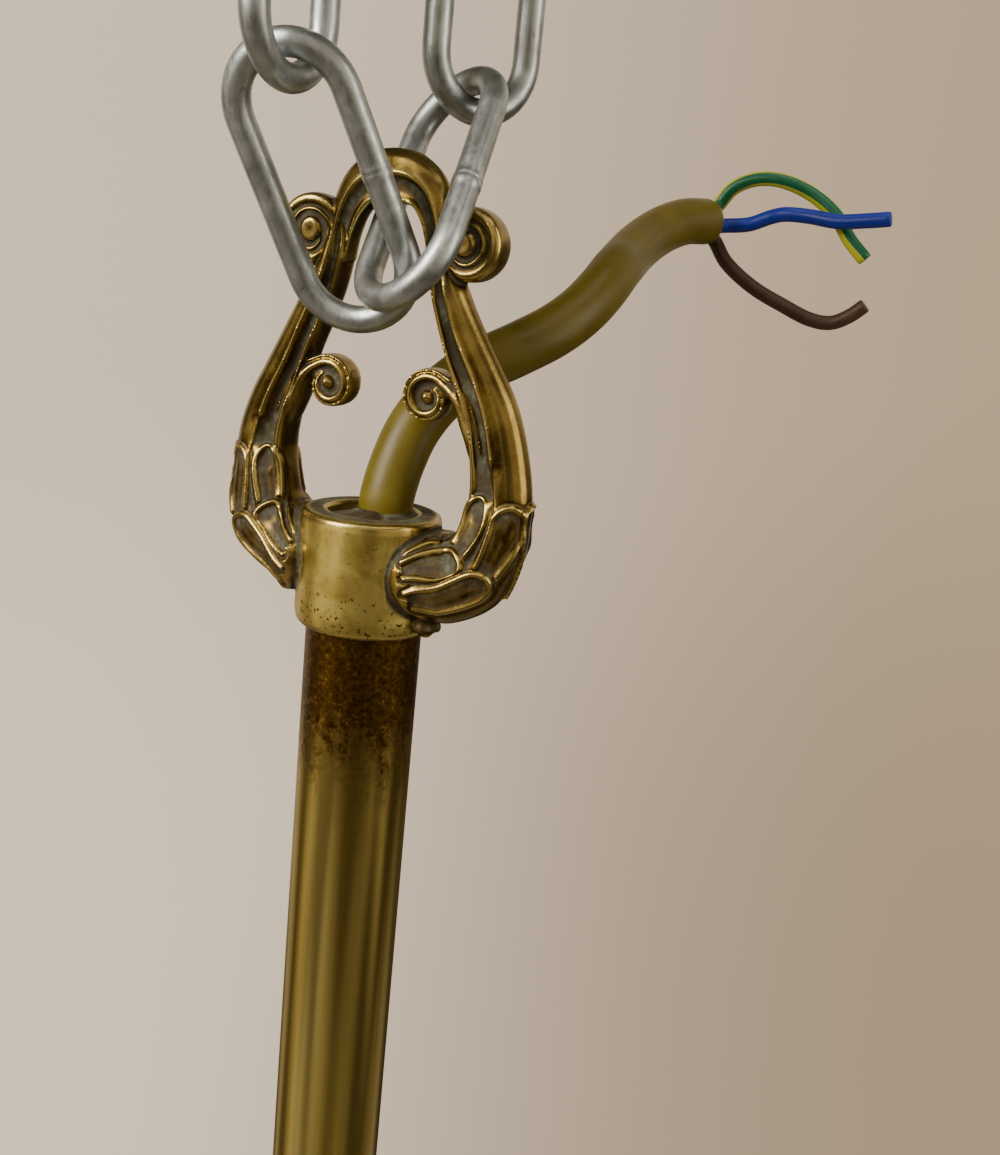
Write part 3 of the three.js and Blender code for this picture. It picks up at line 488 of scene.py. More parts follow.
CAST = cast_brass("aged cast brass")
TURNED = turned_brass("turned brass")
LACQUER = stem_lacquer("lacquered stem")
ZINC = zinc_plate("zinc plate")
OLIVE = sheath("olive sheath", (0.105, 0.077, 0.0015), (0.155, 0.118, 0.004), 0.36)
BLUE = sheath("blue sheath", (0.003, 0.018, 0.3), (0.008, 0.04, 0.42), 0.35)
BROWN = sheath("brown sheath", (0.05, 0.024, 0.013), (0.1, 0.055, 0.035), 0.4)
EARTH = striped_sheath("green and yellow sheath", (0.0, 0.13, 0.05), (0.62, 0.62, 0.03))
IVORY = plain("ivory sleeve", (0.72, 0.65, 0.48), (0.82, 0.77, 0.62), 0.5, 60)
BLACK = plain("black holder", (0.012, 0.011, 0.01), (0.025, 0.023, 0.02), 0.38, 120)

# Camera, solved from the stem, the collar and the lyre in the photo

FOCAL_PIXELS = 1292.0
CAMERA_PLACE = (69.9, -133.6, 32.1)
YAW, PITCH, ROLL = math.radians(-21.59), math.radians(-14.52), math.radians(5.76)

forward = Vector((math.sin(YAW) * math.cos(PITCH), math.cos(YAW) * math.cos(PITCH), math.sin(PITCH)))
level = Vector((math.cos(YAW), -math.sin(YAW), 0))
upward = level.cross(forward)
right = level * math.cos(ROLL) + upward * math.sin(ROLL)
above = upward * math.cos(ROLL) - level * math.sin(ROLL)

camera = bpy.data.objects.new("camera", bpy.data.cameras.new("camera"))
bpy.context.scene.collection.objects.link(camera)
camera.data.sensor_width = 36.0
camera.data.lens = FOCAL_PIXELS * 36.0 / 1155.0
camera.data.clip_start = 0.01
turn = Matrix((right, above, -forward)).transposed().to_4x4()
camera.matrix_world = Matrix.Translation(from_collar(CAMERA_PLACE)) @ turn
bpy.context.scene.camera = camera

# Cable and cores

CORD_STEPS = 6
CABLE_ROUTE = [
    (1.2, 1, 0), (1.2, 1.1, 1.4), (1.5, 2.5, 5.4), (2.4, 4.6, 9.8), (4.5, 7.1, 13.9), (7.6, 9.7, 17.2),
    (11.2, 12.6, 19.7), (14.2, 16.2, 22.1), (16.1, 20.3, 24.7), (17, 24.6, 27.4), (16.9, 29.4, 29.6),
    (16.4, 34.4, 31.1), (16.1, 39.3, 32.7), (16.3, 44.3, 34.4), (17.2, 49.1, 36.1), (18.7, 54, 37.4),
    (20.7, 58.8, 37.8),
]
EARTH_ROUTE = [
    (20.85, 59.5, 39.5), (21.4, 60.9, 40.3), (23.2, 61, 42.8), (26.2, 61, 44.3), (29.9, 61, 44.5),
    (34.3, 62, 43.1), (38.3, 62, 40.4), (40.9, 62, 37.1), (43.5, 62, 34.6),
]
BLUE_ROUTE = [
    (22.1, 58.7, 37.3), (22.9, 60.3, 37.5), (26.2, 61.3, 38), (29.4, 61, 39.3), (31.4, 60.3, 39.8),
    (35, 60, 39.8), (39.3, 59, 39.4), (43.2, 58.6, 39.8), (46.6, 58.4, 40.3),
]
BROWN_ROUTE = [
    (20.75, 59.75, 35.9), (21.4, 61.4, 35.3), (23.5, 61.6, 32.4), (28, 61.6, 29.2), (32.6, 62, 27.1),
    (37.1, 62.6, 25.4), (40, 63, 25.3), (42.5, 63, 26.6), (44.4, 63, 28.3),
]


def cord_tube(name, route, diameter, material, sides=32, steps=CORD_STEPS, twist=0.0, bead=0.05):
    """A cord as a tube on its route, with softly rounded ends and a stripe marked on two sides."""
    line = smooth_route(route, steps)
    ways = [line[min(i + 1, len(line) - 1)] - line[max(i - 1, 0)] for i in range(len(line))]
    ways = [way / np.linalg.norm(way) for way in ways]
    side = np.cross(ways[0], (0.3, 0.2, 1.0))
    rings, stripes = [], []
    radius = diameter / 2
    stations = [(0, 0.0, 0.86), (0, bead, 0.96)] + [(i, 0.0, 1.0) for i in range(1, len(line) - 1)]
    stations += [(len(line) - 1, -bead, 0.96), (len(line) - 1, 0.0, 0.86)]
    for i, ahead, share in stations:
        side = side - ways[i] * np.dot(side, ways[i])
        side /= np.linalg.norm(side)
        other = np.cross(ways[i], side)
        ring = []
        for j in range(sides):
            angle = 2 * math.pi * j / sides
            out = side * math.cos(angle) + other * math.sin(angle)
            ring.append(from_collar(line[i] + ways[i] * ahead + out * radius * share))
            stripes.append(0.5 + 0.5 * math.sin(2 * (angle + twist * i / len(line))))
        rings.append(ring)
    points, faces = skin(rings)
    made = mesh_object(name, points, facing_out(points, faces)[1], material)
    mark = made.data.attributes.new("stripe", "FLOAT", "POINT")
    mark.data.foreach_set("value", stripes + [0.5] * (len(points) - len(stripes)))
    return made


for name, route, finish, twist in (
    ("core_earth", EARTH_ROUTE, EARTH, 1.2),
    ("core_blue", BLUE_ROUTE, BLUE, 0.0),
    ("core_brown", BROWN_ROUTE, BROWN, 0.0),
):
    core = cord_tube("sheath_" + name, route, CORE_DIAMETER, finish, twist=twist)
    put(core, "chandelier", name.replace("core_", "") + "_sheath", name)

# The sheath runs a little further down into the collar's bore than the cable's free stretch
SHEATH_ROUTE = [(1.2, 1, -1.6), *CABLE_ROUTE]
cable = cord_tube("cable_sheath", SHEATH_ROUTE, CABLE_DIAMETER, OLIVE, sides=48, bead=0.3)
put(cable, "chandelier", "olive_sheath", "cable_free")

# Chain links


LINK_HALF_WIDTH = (LINK_INNER_WIDTH + LINK_WIRE) / 2
LINK_STRAIGHT = (LINK_INNER_LENGTH + LINK_WIRE) / 2 - LINK_HALF_WIDTH


def unit(way):
    return np.array(way, float) / np.linalg.norm(way)


def link_frame(long_way, wide_way):
    long_way = unit(long_way)
    return long_way, np.cross(unit(np.cross(long_way, wide_way)), long_way)


def wire_tree():
    """The node tree that draws a round steel wire along a path of points and edges."""
    tree = bpy.data.node_groups.new("wire along a path", "GeometryNodeTree")
    sockets = {}
    for label, kind in (
        ("Path", "Geometry"),
        ("Wire radius", "Float"),
        ("Sides", "Int"),
        ("Finish", "Material"),
    ):
        made = tree.interface.new_socket(label, in_out="INPUT", socket_type="NodeSocket" + kind)
        sockets[label] = made.identifier
    tree.interface.new_socket("Wire", in_out="OUTPUT", socket_type="NodeSocketGeometry")

    def node(kind, **inputs):
        made = tree.nodes.new(kind)
        for label, value in inputs.items():
            socket = made.inputs[label.replace("_", " ")]
            if isinstance(value, bpy.types.NodeSocket):
                tree.links.new(value, socket)
            else:
                socket.default_value = value
        return made

    given = tree.nodes.new("NodeGroupInput").outputs
    swell = node("GeometryNodeInputNamedAttribute", Name="swell").outputs["Attribute"]
    line = node("GeometryNodeMeshToCurve", Mesh=given["Path"]).outputs["Curve"]
    ring = node("GeometryNodeCurvePrimitiveCircle", Resolution=given["Sides"], Radius=given["Wire radius"])
    wire = node("GeometryNodeCurveToMesh", Curve=line, Scale=swell, Fill_Caps=True)
    tree.links.new(ring.outputs["Curve"], wire.inputs["Profile Curve"])
    smooth = node("GeometryNodeSetShadeSmooth", Geometry=wire.outputs["Mesh"])
    whole = node("GeometryNodeRealizeInstances", Geometry=smooth.outputs["Geometry"])
    finished = node("GeometryNodeSetMaterial", Geometry=whole.outputs["Geometry"], Material=given["Finish"])
    node("NodeGroupOutput", Wire=finished.outputs["Geometry"])
    return tree, sockets


WIRE_TREE, WIRE_SOCKETS = wire_tree()


def round_wire(name, points, radius, swells=None, loop=False):
    """A wire along the points, thicker or thinner at each by its swell."""
    edges = [(i, i + 1) for i in range(len(points) - 1)]
    if loop:
        edges.append((len(points) - 1, 0))
    mesh = bpy.data.meshes.new(name + " path")
    mesh.from_pydata([tuple(p) for p in points], edges, [])
    swell = mesh.attributes.new("swell", "FLOAT", "POINT")
    swell.data.foreach_set("value", swells or [1.0] * len(points))
    path = bpy.data.objects.new(name + " path", mesh)
    bpy.context.scene.collection.objects.link(path)
    drawn = path.modifiers.new("wire", "NODES")
    drawn.node_group = WIRE_TREE
    for label, value in (("Wire radius", radius), ("Sides", 32), ("Finish", ZINC)):
        drawn[WIRE_SOCKETS[label]] = value
    return applied(path, name)


def link(name, centre, long_way, wide_way, weld_side, weld_at):
    """A link of round wire: two half rings and two legs, one with the seam and the swelling of its weld."""
    half_width, straight = LINK_HALF_WIDTH, LINK_STRAIGHT
    long_way, wide_way = link_frame(long_way, wide_way)
    points, swells = [], []

    def step(across, up, swell):
        points.append(from_collar(np.array(centre) + across * wide_way + up * long_way))
        swells.append(swell)

    for side in (1, -1):
        for i in range(25):
            angle = math.pi * i / 24
            across, up = side * math.cos(angle), side * math.sin(angle)
            # Bending flattens the wire a little on the outside of each bow
            step(half_width * across, side * straight + half_width * up, 1 - 0.03 * math.sin(angle))
        for i in range(1, 90):
            height = side * straight * (1 - 2 * i / 90)
            swell = 0.0
            if side == weld_side:
                past = height - weld_at
                seam = math.exp(-(((past - 0.25) / 0.13) ** 2))
                swell = 0.06 * math.exp(-((past / 0.75) ** 4)) - 0.06 * seam
            step(-side * half_width, height, 1.0 + swell)
    return round_wire(name, points, LINK_WIRE / 2 * MM, swells, loop=True)


LYRE_HEIGHT = 41.1
ARCH_WIDTH, ARCH_DEPTH = 6.2, 4.2
ARCH_MIDDLE = LYRE_HEIGHT - ARCH_WIDTH / 2
BESIDE_ARCH = ARCH_DEPTH / 2 + GAP + LINK_WIRE / 2
UPWARD = (0, 0, 1)
FRONT_LONG, FRONT_WIDE = (-0.271, -0.368, 0.89), (0.944, 0.08, 0.32)
BACK_LONG, BACK_WIDE = (-0.071, 0.61, 0.789), (0.892, -0.316, 0.324)


def level_way(degrees):
    """A level direction, turned so far from the right toward the back."""
    return math.cos(math.radians(degrees)), math.sin(math.radians(degrees)), 0


def top_offset(long_way, wide_way):
    """From a link's centre to the wire's centre at the link's highest point."""
    long_way, wide_way = link_frame(long_way, wide_way)
    lean = math.hypot(wide_way[2], long_way[2])
    along = LINK_STRAIGHT + LINK_HALF_WIDTH * long_way[2] / lean
    return long_way * along + wide_way * (LINK_HALF_WIDTH * wide_way[2] / lean)


# Places fitted to the photo, with every wire clear of the next
front_centre = np.array((-4.5, -BESIDE_ARCH - 4.0, ARCH_MIDDLE - 2.2))
front_hang = front_centre + top_offset(FRONT_LONG, FRONT_WIDE)
back_centre = np.array((3.62, BESIDE_ARCH - 2.65, front_hang[2] - top_offset(BACK_LONG, BACK_WIDE)[2]))
back_hang = back_centre + top_offset(BACK_LONG, BACK_WIDE)
rise = np.array((0, 0, (LINK_INNER_LENGTH + LINK_WIRE) / 2 - LINK_WIRE - GAP))
FRONT_LEVEL, BACK_LEVEL = level_way(88.3), level_way(59.5)
# Name, centre, long and wide direction, side and height of the weld, body and node
links = [
    ("wire_front_lower", front_centre, FRONT_LONG, FRONT_WIDE, -1, 0.0, "chandelier", "link_front_lower"),
    ("wire_back_lower", back_centre, BACK_LONG, BACK_WIDE, -1, -2.1, "chandelier", "link_back_lower"),
    ("wire_front_upper", front_hang + rise, UPWARD, FRONT_LEVEL, 1, 0.0, "front_link", "link_front_upper"),
    ("wire_back_upper", back_hang + rise, UPWARD, BACK_LEVEL, 1, 0.0, "back_link", "link_back_upper"),
]
for name, centre, long_way, wide_way, weld_side, weld_at, body, node in links:
    put(link(name, centre, long_way, wide_way, weld_side, weld_at), body, "zinc", node)

# Lyre: collar, arms, scrolls, arch and leaves, in one casting

# Shares of the half width and half depth: inner edge, thin ridge, groove, main ridge, outer edge
ARM_SECTION = [
    (-1.0, -0.30), (-0.98, -0.58), (-0.92, -0.78), (-0.84, -0.84), (-0.76, -0.76), (-0.68, -0.60),
    (-0.5, -0.54), (-0.32, -0.58), (-0.2, -0.80), (-0.12, -0.97), (-0.05, -1.0), (0.04, -0.93),
    (0.2, -0.88), (0.42, -0.84), (0.62, -0.72), (0.8, -0.53), (0.93, -0.29), (1.0, 0.0),
]
SCROLL_SECTION = [
    (-1.0, -0.28), (-0.96, -0.52), (-0.86, -0.72), (-0.72, -0.84), (-0.52, -0.92), (-0.3, -0.95),
    (-0.1, -0.93), (0.08, -0.88), (0.24, -0.82), (0.38, -0.80), (0.5, -0.84), (0.62, -0.97), (0.74, -1.0),
    (0.84, -0.93), (0.92, -0.75), (0.97, -0.5), (1.0, -0.25), (1.0, 0.0),
]
STRAND_SECTION = [
    (-1.0, -0.2), (-0.95, -0.5), (-0.8, -0.76), (-0.55, -0.93), (-0.25, -1.0), (0.05, -0.93), (0.3, -0.78),
    (0.5, -0.72), (0.66, -0.85), (0.8, -0.9), (0.92, -0.7), (1.0, -0.3), (1.0, 0.0),
]
ARCH_SECTION = [
    (-1.0, 0.0), (-1.0, -0.3), (-0.95, -0.62), (-0.86, -0.74), (-0.76, -0.66), (-0.5, -0.6),
    (-0.15, -0.66), (0.02, -0.92), (0.1, -1.0), (0.2, -0.93), (0.4, -0.82), (0.65, -0.66), (0.86, -0.42),
    (0.97, -0.2), (1.0, 0.0),
]


def whole_section(front):
    """The front half of a section and its mirror at the back."""
    back = [(across, -deep) for across, deep in reversed(front) if abs(deep) > 1e-6]
    return front + back


def oval_section(count):
    """A full oval with as many points as an arm's section."""
    turns = [math.pi * (i + 0.35) / (count - 0.65) for i in range(count - 1)]
    return [*((-math.cos(turn), -(math.sin(turn) ** 0.85)) for turn in turns), (1.0, 0.0)]


def bar(stations, sections, steps):
    """A bar along stations of (x, z, width, depth, kind), its section going from one kind to the next."""
    line = smooth_route([(x, 0.0, z) for x, z, *_ in stations], steps)
    rings = []
    spans = len(stations) - 1
    for i, place in enumerate(line):
        way = line[min(i + 1, len(line) - 1)] - line[max(i - 1, 0)]
        way = way / np.linalg.norm(way)
        at = i / steps
        span = min(int(at), spans - 1)
        here, there = np.array(stations[span], float), np.array(stations[span + 1], float)
        _, _, width, depth, kind = here + (there - here) * (at - span)
        low = min(int(kind), len(sections) - 1)
        first, second = sections[low], sections[min(low + 1, len(sections) - 1)]
        ring = []
        for start, end in zip(first, second):
            across = (start[0] + (end[0] - start[0]) * (kind - low)) * width / 2
            deep = (start[1] + (end[1] - start[1]) * (kind - low)) * depth / 2
            ring.append((place[0] + way[2] * across, deep, place[2] - way[0] * across))
        rings.append(ring)
    return skin(rings)


def disc(centre, radius, depth, edge, dish=0.0):
    """A round web or boss along Y, with rounded edges and a dished face at both ends."""
    outline = [(0.0, -depth / 2 + dish), (radius - edge, -depth / 2), (radius, -depth / 2 + edge)]
    outline += [(radius, depth / 2 - edge), (radius - edge, depth / 2), (0.0, depth / 2 - dish)]
    points, faces = turned(softened(outline, edge, 4), 40)
    return [(centre[0] + x, z, centre[1] + y) for x, y, z in points], faces


def mirrored(shell):
    return [(-p[0], p[1], p[2]) for p in shell[0]], shell[1]


def egg(centre, radii, sides=32, rings=12):
    """A small rounded lump, left where the metal ran in."""
    outline = [(math.sin(math.pi * i / rings), -math.cos(math.pi * i / rings)) for i in range(rings + 1)]
    outline[0], outline[-1] = (0.0, -1.0), (0.0, 1.0)
    points, faces = turned(outline, sides)
    return [tuple(c + p * r for c, p, r in zip(centre, point, radii)) for point in points], faces


# Places along an arm: across, up, width, depth and kind of section, from inside the collar to the neck
ARM_LINE = [
    (4.6, -6.3, 7.6, 11.4, 0.0), (6.4, -6.25, 9.6, 13.0, 0.0), (7.6, -6.2, 10.1, 13.3, 0.0),
    (9.2, -6.1, 10.2, 12.4, 0.0), (11.2, -5.6, 10.0, 11.0, 0.0), (13.2, -4.4, 9.9, 9.6, 0.0),
    (14.8, -1.8, 8.8, 8.2, 0.0), (15.5, 1.8, 7.9, 7.2, 0.1), (15.8, 5.4, 7.0, 6.4, 0.8),
    (15.1, 9.6, 6.4, 6.0, 1.0), (14.0, 13.0, 5.9, 5.7, 1.0), (12.1, 17.1, 5.3, 5.4, 1.0),
    (9.7, 22.0, 4.6, 5.0, 1.0), (8.0, 25.8, 4.0, 4.8, 1.1), (6.9, 28.6, 3.1, 4.5, 1.4),
]
OUTER_CENTRE = (9.6, 31.4)
# The large scroll turns from the inner side over the top: angle, middle radius, band and depth
OUTER_TURN = [
    (176, 3.15, 2.2, 4.1), (146, 3.05, 2.1, 4.0), (112, 3.0, 2.1, 4.0), (78, 3.05, 2.2, 4.0),
    (44, 3.15, 2.3, 4.1), (10, 3.2, 2.4, 4.2), (-24, 3.2, 2.4, 4.3), (-58, 3.1, 2.3, 4.3),
    (-92, 2.95, 2.1, 4.2), (-124, 2.55, 1.8, 4.1), (-154, 2.15, 1.5, 3.9), (-184, 1.8, 1.3, 3.8),
    (-216, 1.55, 1.1, 3.6),
]
INNER_CENTRE = (6.5, 14.35)
# The strand rises out of the arm's inner edge and turns inwards over the top of the small scroll
STRAND_LINE = [
    (13.2, 7.4, 1.6, 3.0, 0.0), (12.5, 9.6, 2.2, 4.4, 0.0), (11.5, 12.2, 2.4, 4.7, 0.0),
    (10.2, 14.8, 2.2, 4.2, 0.0),
]
INNER_TURN = [
    (50, 2.62, 1.55, 3.6), (80, 2.5, 1.5, 3.5), (112, 2.45, 1.5, 3.5), (146, 2.45, 1.5, 3.5),
    (180, 2.4, 1.5, 3.5), (214, 2.35, 1.5, 3.5), (248, 2.25, 1.45, 3.4), (282, 2.1, 1.4, 3.3),
    (316, 1.85, 1.3, 3.2), (350, 1.6, 1.15, 3.1), (384, 1.4, 1.0, 2.9), (418, 1.25, 0.8, 2.8),
]

# Leaves on an arm's foot, the upper ones first: tip, middle and root across and up, then the widest width
LEAVES = [
    ((17.6, 4.4), (17.5, 0.6), (15.9, -4.6), 3.5),
    ((13.8, 5.0), (13.5, 1.4), (11.6, -3.2), 2.9),
    ((13.1, -2.1), (11.2, -3.3), (7.6, -4.9), 3.1),
    ((16.6, -3.8), (13.8, -6.0), (8.4, -8.4), 3.4),
]
# The leaf on an arm's outer side: towards the back and up
SIDE_LEAF = ((-0.6, 4.7), (-0.8, 0.6), (-1.4, -6.4), 4.2)
GROOVE_LINE = [(15.3, 8.0), (15.5, 4.6), (15.4, 1.8), (14.6, -0.8), (13.2, -2.8), (11.6, -4.6)]


def turning(centre, table, kinds):
    stations = []
    for i, (angle, radius, width, depth) in enumerate(table):
        kind = min(kinds[1], kinds[0] + i * 0.4)
        angle = math.radians(angle)
        place = (centre[0] + radius * math.cos(angle), centre[1] + radius * math.sin(angle))
        stations.append((*place, width, depth, kind))
    return stations


def leaf_edge(leaf):
    """A leaf's edge, from its root up one side, round the tip and down the other side."""
    tip, middle, root = (np.array(p, float) for p in leaf[:3])
    bend = 2 * middle - (tip + root) / 2
    sides = ([], [])
    for i in range(33):
        t = math.sin(math.pi / 2 * i / 32)
        place = (1 - t) ** 2 * root + 2 * t * (1 - t) * bend + t * t * tip
        way = (1 - t) * (bend - root) + t * (tip - bend)
        way = way / np.linalg.norm(way)
        # Fairly wide at the root, widest past the middle, round at the tip
        half = 0.6 + 0.4 * math.sin(math.pi / 2 * t / 0.66)
        if t > 0.66:
            half = math.sqrt(max(0.0, 1 - ((t - 0.66) / 0.34) ** 2))
        for side, sign in zip(sides, (1, -1)):
            side.append(place + sign * leaf[3] / 2 * half * np.array((way[1], -way[0])))
    return np.array(sides[0] + sides[1][::-1])


def to_line(places, line):
    """Distance from each place to a line of points, and whether it lies inside the closed line."""
    nearest = np.full(len(places), 1e9)
    inside = np.zeros(len(places), bool)
    for i, start in enumerate(line):
        end = line[(i + 1) % len(line)]
        way = end - start
        if i < len(line) - 1:
            along = np.clip((places - start) @ way / max(way @ way, 1e-9), 0, 1)
            nearest = np.minimum(nearest, ((places - start - along[:, None] * way) ** 2).sum(axis=1))
        if way[1]:
            crosses = (start[1] > places[:, 1]) != (end[1] > places[:, 1])
            inside ^= crosses & (places[:, 0] < start[0] + (places[:, 1] - start[1]) * way[0] / way[1])
    return np.sqrt(nearest), inside


def bell(value, middle, spread):
    return np.exp(-(((value - middle) / spread) ** 2))


def step_between(value, low, high):
    share = np.clip((value - low) / (high - low), 0, 1)
    return share * share * (3 - 2 * share)


def leaf_side(places, leaf):
    """Distance to a leaf's edge, less than nothing inside it."""
    distance, inside = to_line(places, leaf_edge(leaf))
    return np.where(inside, -distance, distance)


def leaf_relief(places, leaf):
    """How far a leaf lifts the surface, and how much it covers what is under it."""
    signed = leaf_side(places, leaf)
    distance = np.abs(signed)
    rim = 0.32 * bell(distance, 0, 0.3)
    middle = -0.16 * step_between(-signed, 0.15, 0.6) - 0.12 * step_between(-signed, 0.6, leaf[3] / 2)
    crease = -0.12 * bell(signed, 0.55, 0.24)
    return rim + middle + crease, step_between(-signed, -0.85, -0.4)


def carve_lyre(piece):
    """Raises the leaves' rims and sinks the grooves on the arms' feet, then leans the two arms."""
    mesh = piece.data
    count = len(mesh.vertices)
    points, normals = np.empty(count * 3), np.empty(count * 3)
    mesh.vertices.foreach_get("co", points)
    mesh.vertices.foreach_get("normal", normals)
    points, normals = points.reshape(-1, 3), normals.reshape(-1, 3)
    local = (points - np.array(STEM_AXIS)) / MM
    side = np.sign(local[:, 0])
    across, deep, up = np.abs(local[:, 0]), local[:, 1], local[:, 2]
    reach = np.hypot(local[:, 0], deep)
    foot = np.nonzero((up < 9) & (across > 5) & (reach > 8.9))[0]
    flat = np.stack((across[foot], up[foot]), axis=1)
    outer = np.stack((-deep[foot], up[foot]), axis=1)
    facing = step_between(np.abs(normals[foot, 1]), 0.12, 0.42)
    outward = step_between(normals[foot, 0] * side[foot], 0.45, 0.75) * (1 - facing * 0.7)
    rise = -0.42 * bell(to_line(flat, np.array(smooth_line(GROOVE_LINE)))[0], 0, 0.75) * facing
    fillet = bell(reach[foot], 10.0, 0.8) * step_between(facing, 0.1, 1.0)
    rise += 0.4 * fillet * step_between(-up[foot], 0.5, 2.5)
    layers = [(flat, leaf, facing) for leaf in LEAVES]
    layers.append((outer, SIDE_LEAF, outward))
    for places, leaf, weight in layers:
        lift, cover = leaf_relief(places, leaf)
        cover = cover * weight
        rise = rise * (1 - cover) + lift * cover
    floors = np.zeros(count)
    insides = [step_between(-leaf_side(places, leaf), 0.1, 0.5) * weight for places, leaf, weight in layers]
    floors[foot] = np.max(insides, axis=0)
    mark = mesh.attributes.new("leaf_floor", "FLOAT", "POINT")
    mark.data.foreach_set("value", floors.astype(np.float32))
    rise += 0.25 * outward * to_line(outer, leaf_edge(SIDE_LEAF))[1]
    points[foot] += normals[foot] * (rise * MM)[:, None]
    lean = step_between(up, -6, 2) * (1 - step_between(up, 14, 26)) * step_between(across, 8.5, 12)
    drop = (1 - step_between(up, 6, 16)) * step_between(across, 8.5, 12) * side
    points[:, 0] += 0.6 * MM * lean
    points[:, 2] -= 0.85 * MM * drop
    mesh.vertices.foreach_set("co", points.ravel())
    mesh.update()


def smooth_line(points):
    return [(p[0], p[1]) for p in smooth_route([(x, z, 0) for x, z in points], 6)]


# Radii of the cable's bore and the stem's seat in the collar, and the height where one meets the other
CABLE_BORE, STEM_SEAT, SEAT_ROOF = 5.2, 7.3, -3.6


def lyre_half():
    base = whole_section(oval_section(len(ARM_SECTION)))
    sections = (base, whole_section(ARM_SECTION), whole_section(SCROLL_SECTION))
    return [
        bar(ARM_LINE + turning(OUTER_CENTRE, OUTER_TURN, (1.5, 2.0)), sections, 5),
        disc(OUTER_CENTRE, 2.8, 3.3, 0.2),
        disc(OUTER_CENTRE, 1.4, 4.3, 0.3, 0.05),
        bar(STRAND_LINE + turning(INNER_CENTRE, INNER_TURN, (0.0, 0.0)), (whole_section(STRAND_SECTION),), 4),
        disc(INNER_CENTRE, 2.4, 2.0, 0.2),
        disc(INNER_CENTRE, 0.75, 4.1, 0.6),
    ]


def collar_shell():
    outer, foot = COLLAR_RADIUS, -COLLAR_HEIGHT
    outline = [
        (CABLE_BORE, 0.0), (outer - 0.9, 0.0), (outer - 0.25, -0.3), (outer - 0.12, -1.2),
        (outer - 0.05, foot / 2), (outer, foot + 2.0), (outer - 0.15, foot + 0.6), (outer - 0.8, foot),
        (STEM_SEAT, foot),
        (STEM_SEAT, SEAT_ROOF), (CABLE_BORE, SEAT_ROOF),
    ]
    return turned(softened(outline, 0.5, 4, True), 128, True)


# The lump left under the right arm's foot where the metal ran in
SPRUE = (8.9, -1.6, -12.1)
SPRUE_RADII = (1.35, 2.0, 1.0)


def lyre():
    half = lyre_half()
    quarter = [
        (6.6, 28.4, 3.1, 4.0), (6.3, 31.6, 3.6, 4.2), (5.5, 34.5, 4.2, 4.2), (4.1, 36.7, 5.0, 4.2),
        (2.1, 37.8, 5.8, 4.2),
    ]
    crown = [(0.0, ARCH_MIDDLE, 6.1, 4.2)]
    other = [(-x, z, width, depth) for x, z, width, depth in reversed(quarter)]
    arch = [(*station, 0.0) for station in quarter + crown + other]
    sprue = egg(SPRUE, SPRUE_RADII)
    crest = bar(arch, (whole_section(ARCH_SECTION),), 6)
    return [*half, *map(mirrored, half), crest, collar_shell(), sprue]


def keep_bores_open(piece):
    """Pushes points out of the cable's bore and of the stem's seat, so that the casting stays open there."""
    for vertex in piece.data.vertices:
        place = (vertex.co - STEM_AXIS) / MM
        radius = math.hypot(place.x, place.y)
        bore = CABLE_BORE if place.z > SEAT_ROOF else STEM_SEAT
        if radius < bore and -COLLAR_HEIGHT - 1 < place.z < 0.6 and radius > 0.1:
            vertex.co.x *= bore / radius
            vertex.co.y *= bore / radius


def mark_age(piece):
    """Stores where dirt has settled, where the collar is rubbed golden, and where the metal is pitted."""
    mesh = piece.data
    count = len(mesh.vertices)
    points, normals = np.empty(count * 3), np.empty(count * 3)
    mesh.vertices.foreach_get("co", points)
    mesh.vertices.foreach_get("normal", normals)
    local = (points.reshape(-1, 3) - np.array(STEM_AXIS)) / MM
    facing_up = normals.reshape(-1, 3)[:, 2]
    reach, up = np.hypot(local[:, 0], local[:, 1]), local[:, 2]
    root = step_between(np.abs(local[:, 0]), 4.5, 6.5)
    top = step_between(up, -1.0, -0.3) * (1 - step_between(up, 0.3, 1.2))
    top = top * (1 - step_between(reach, 8.6, 9.6))
    junction = bell(reach, 9.1, 0.55) * root * (1 - step_between(up, 0, 2)) * step_between(up, -11.5, -10)
    inside = (1 - step_between(reach, 6.3, 7.3)) * step_between(up, -6, -4) * (1 - step_between(up, 1, 3))
    from_lump = np.linalg.norm((local - np.array(SPRUE)) / np.array(SPRUE_RADII), axis=1)
    lump = (1 - step_between(from_lump, 1.15, 1.6)) * step_between(reach, 8.0, 8.8)
    wall = (1 - step_between(reach, 8.7, 9.1)) * (1 - step_between(up, -1.2, -0.4))
    wall = wall * step_between(up, -15, -14.5)
    floors = np.empty(count)
    mesh.attributes["leaf_floor"].data.foreach_get("value", floors)
    # The lump was never rubbed, so it counts as neither raised nor sunk
    relief = np.empty(count)
    mesh.attributes["relief"].data.foreach_get("value", relief)
    relief += (0.45 - relief) * lump
    mesh.attributes["relief"].data.foreach_set("value", relief.astype(np.float32))
    top = top * step_between(facing_up, 0.3, 0.8)
    age = {
        "grime": np.maximum.reduce([0.4 * top, 0.16 * junction, 0.3 * inside, 0.1 * lump, 0.09 * floors]),
        "rubbed": wall * (1 - 0.7 * root * step_between(up, -12, -9)) * (1 - lump),
        "pitting": wall * (0.25 + 0.75 * (1 - step_between(up, -13, -5))),
    }
    for name, values in age.items():
        mark = mesh.attributes.new(name, "FLOAT", "POINT")
        mark.data.foreach_set("value", np.clip(values, 0, 1).astype(np.float32))


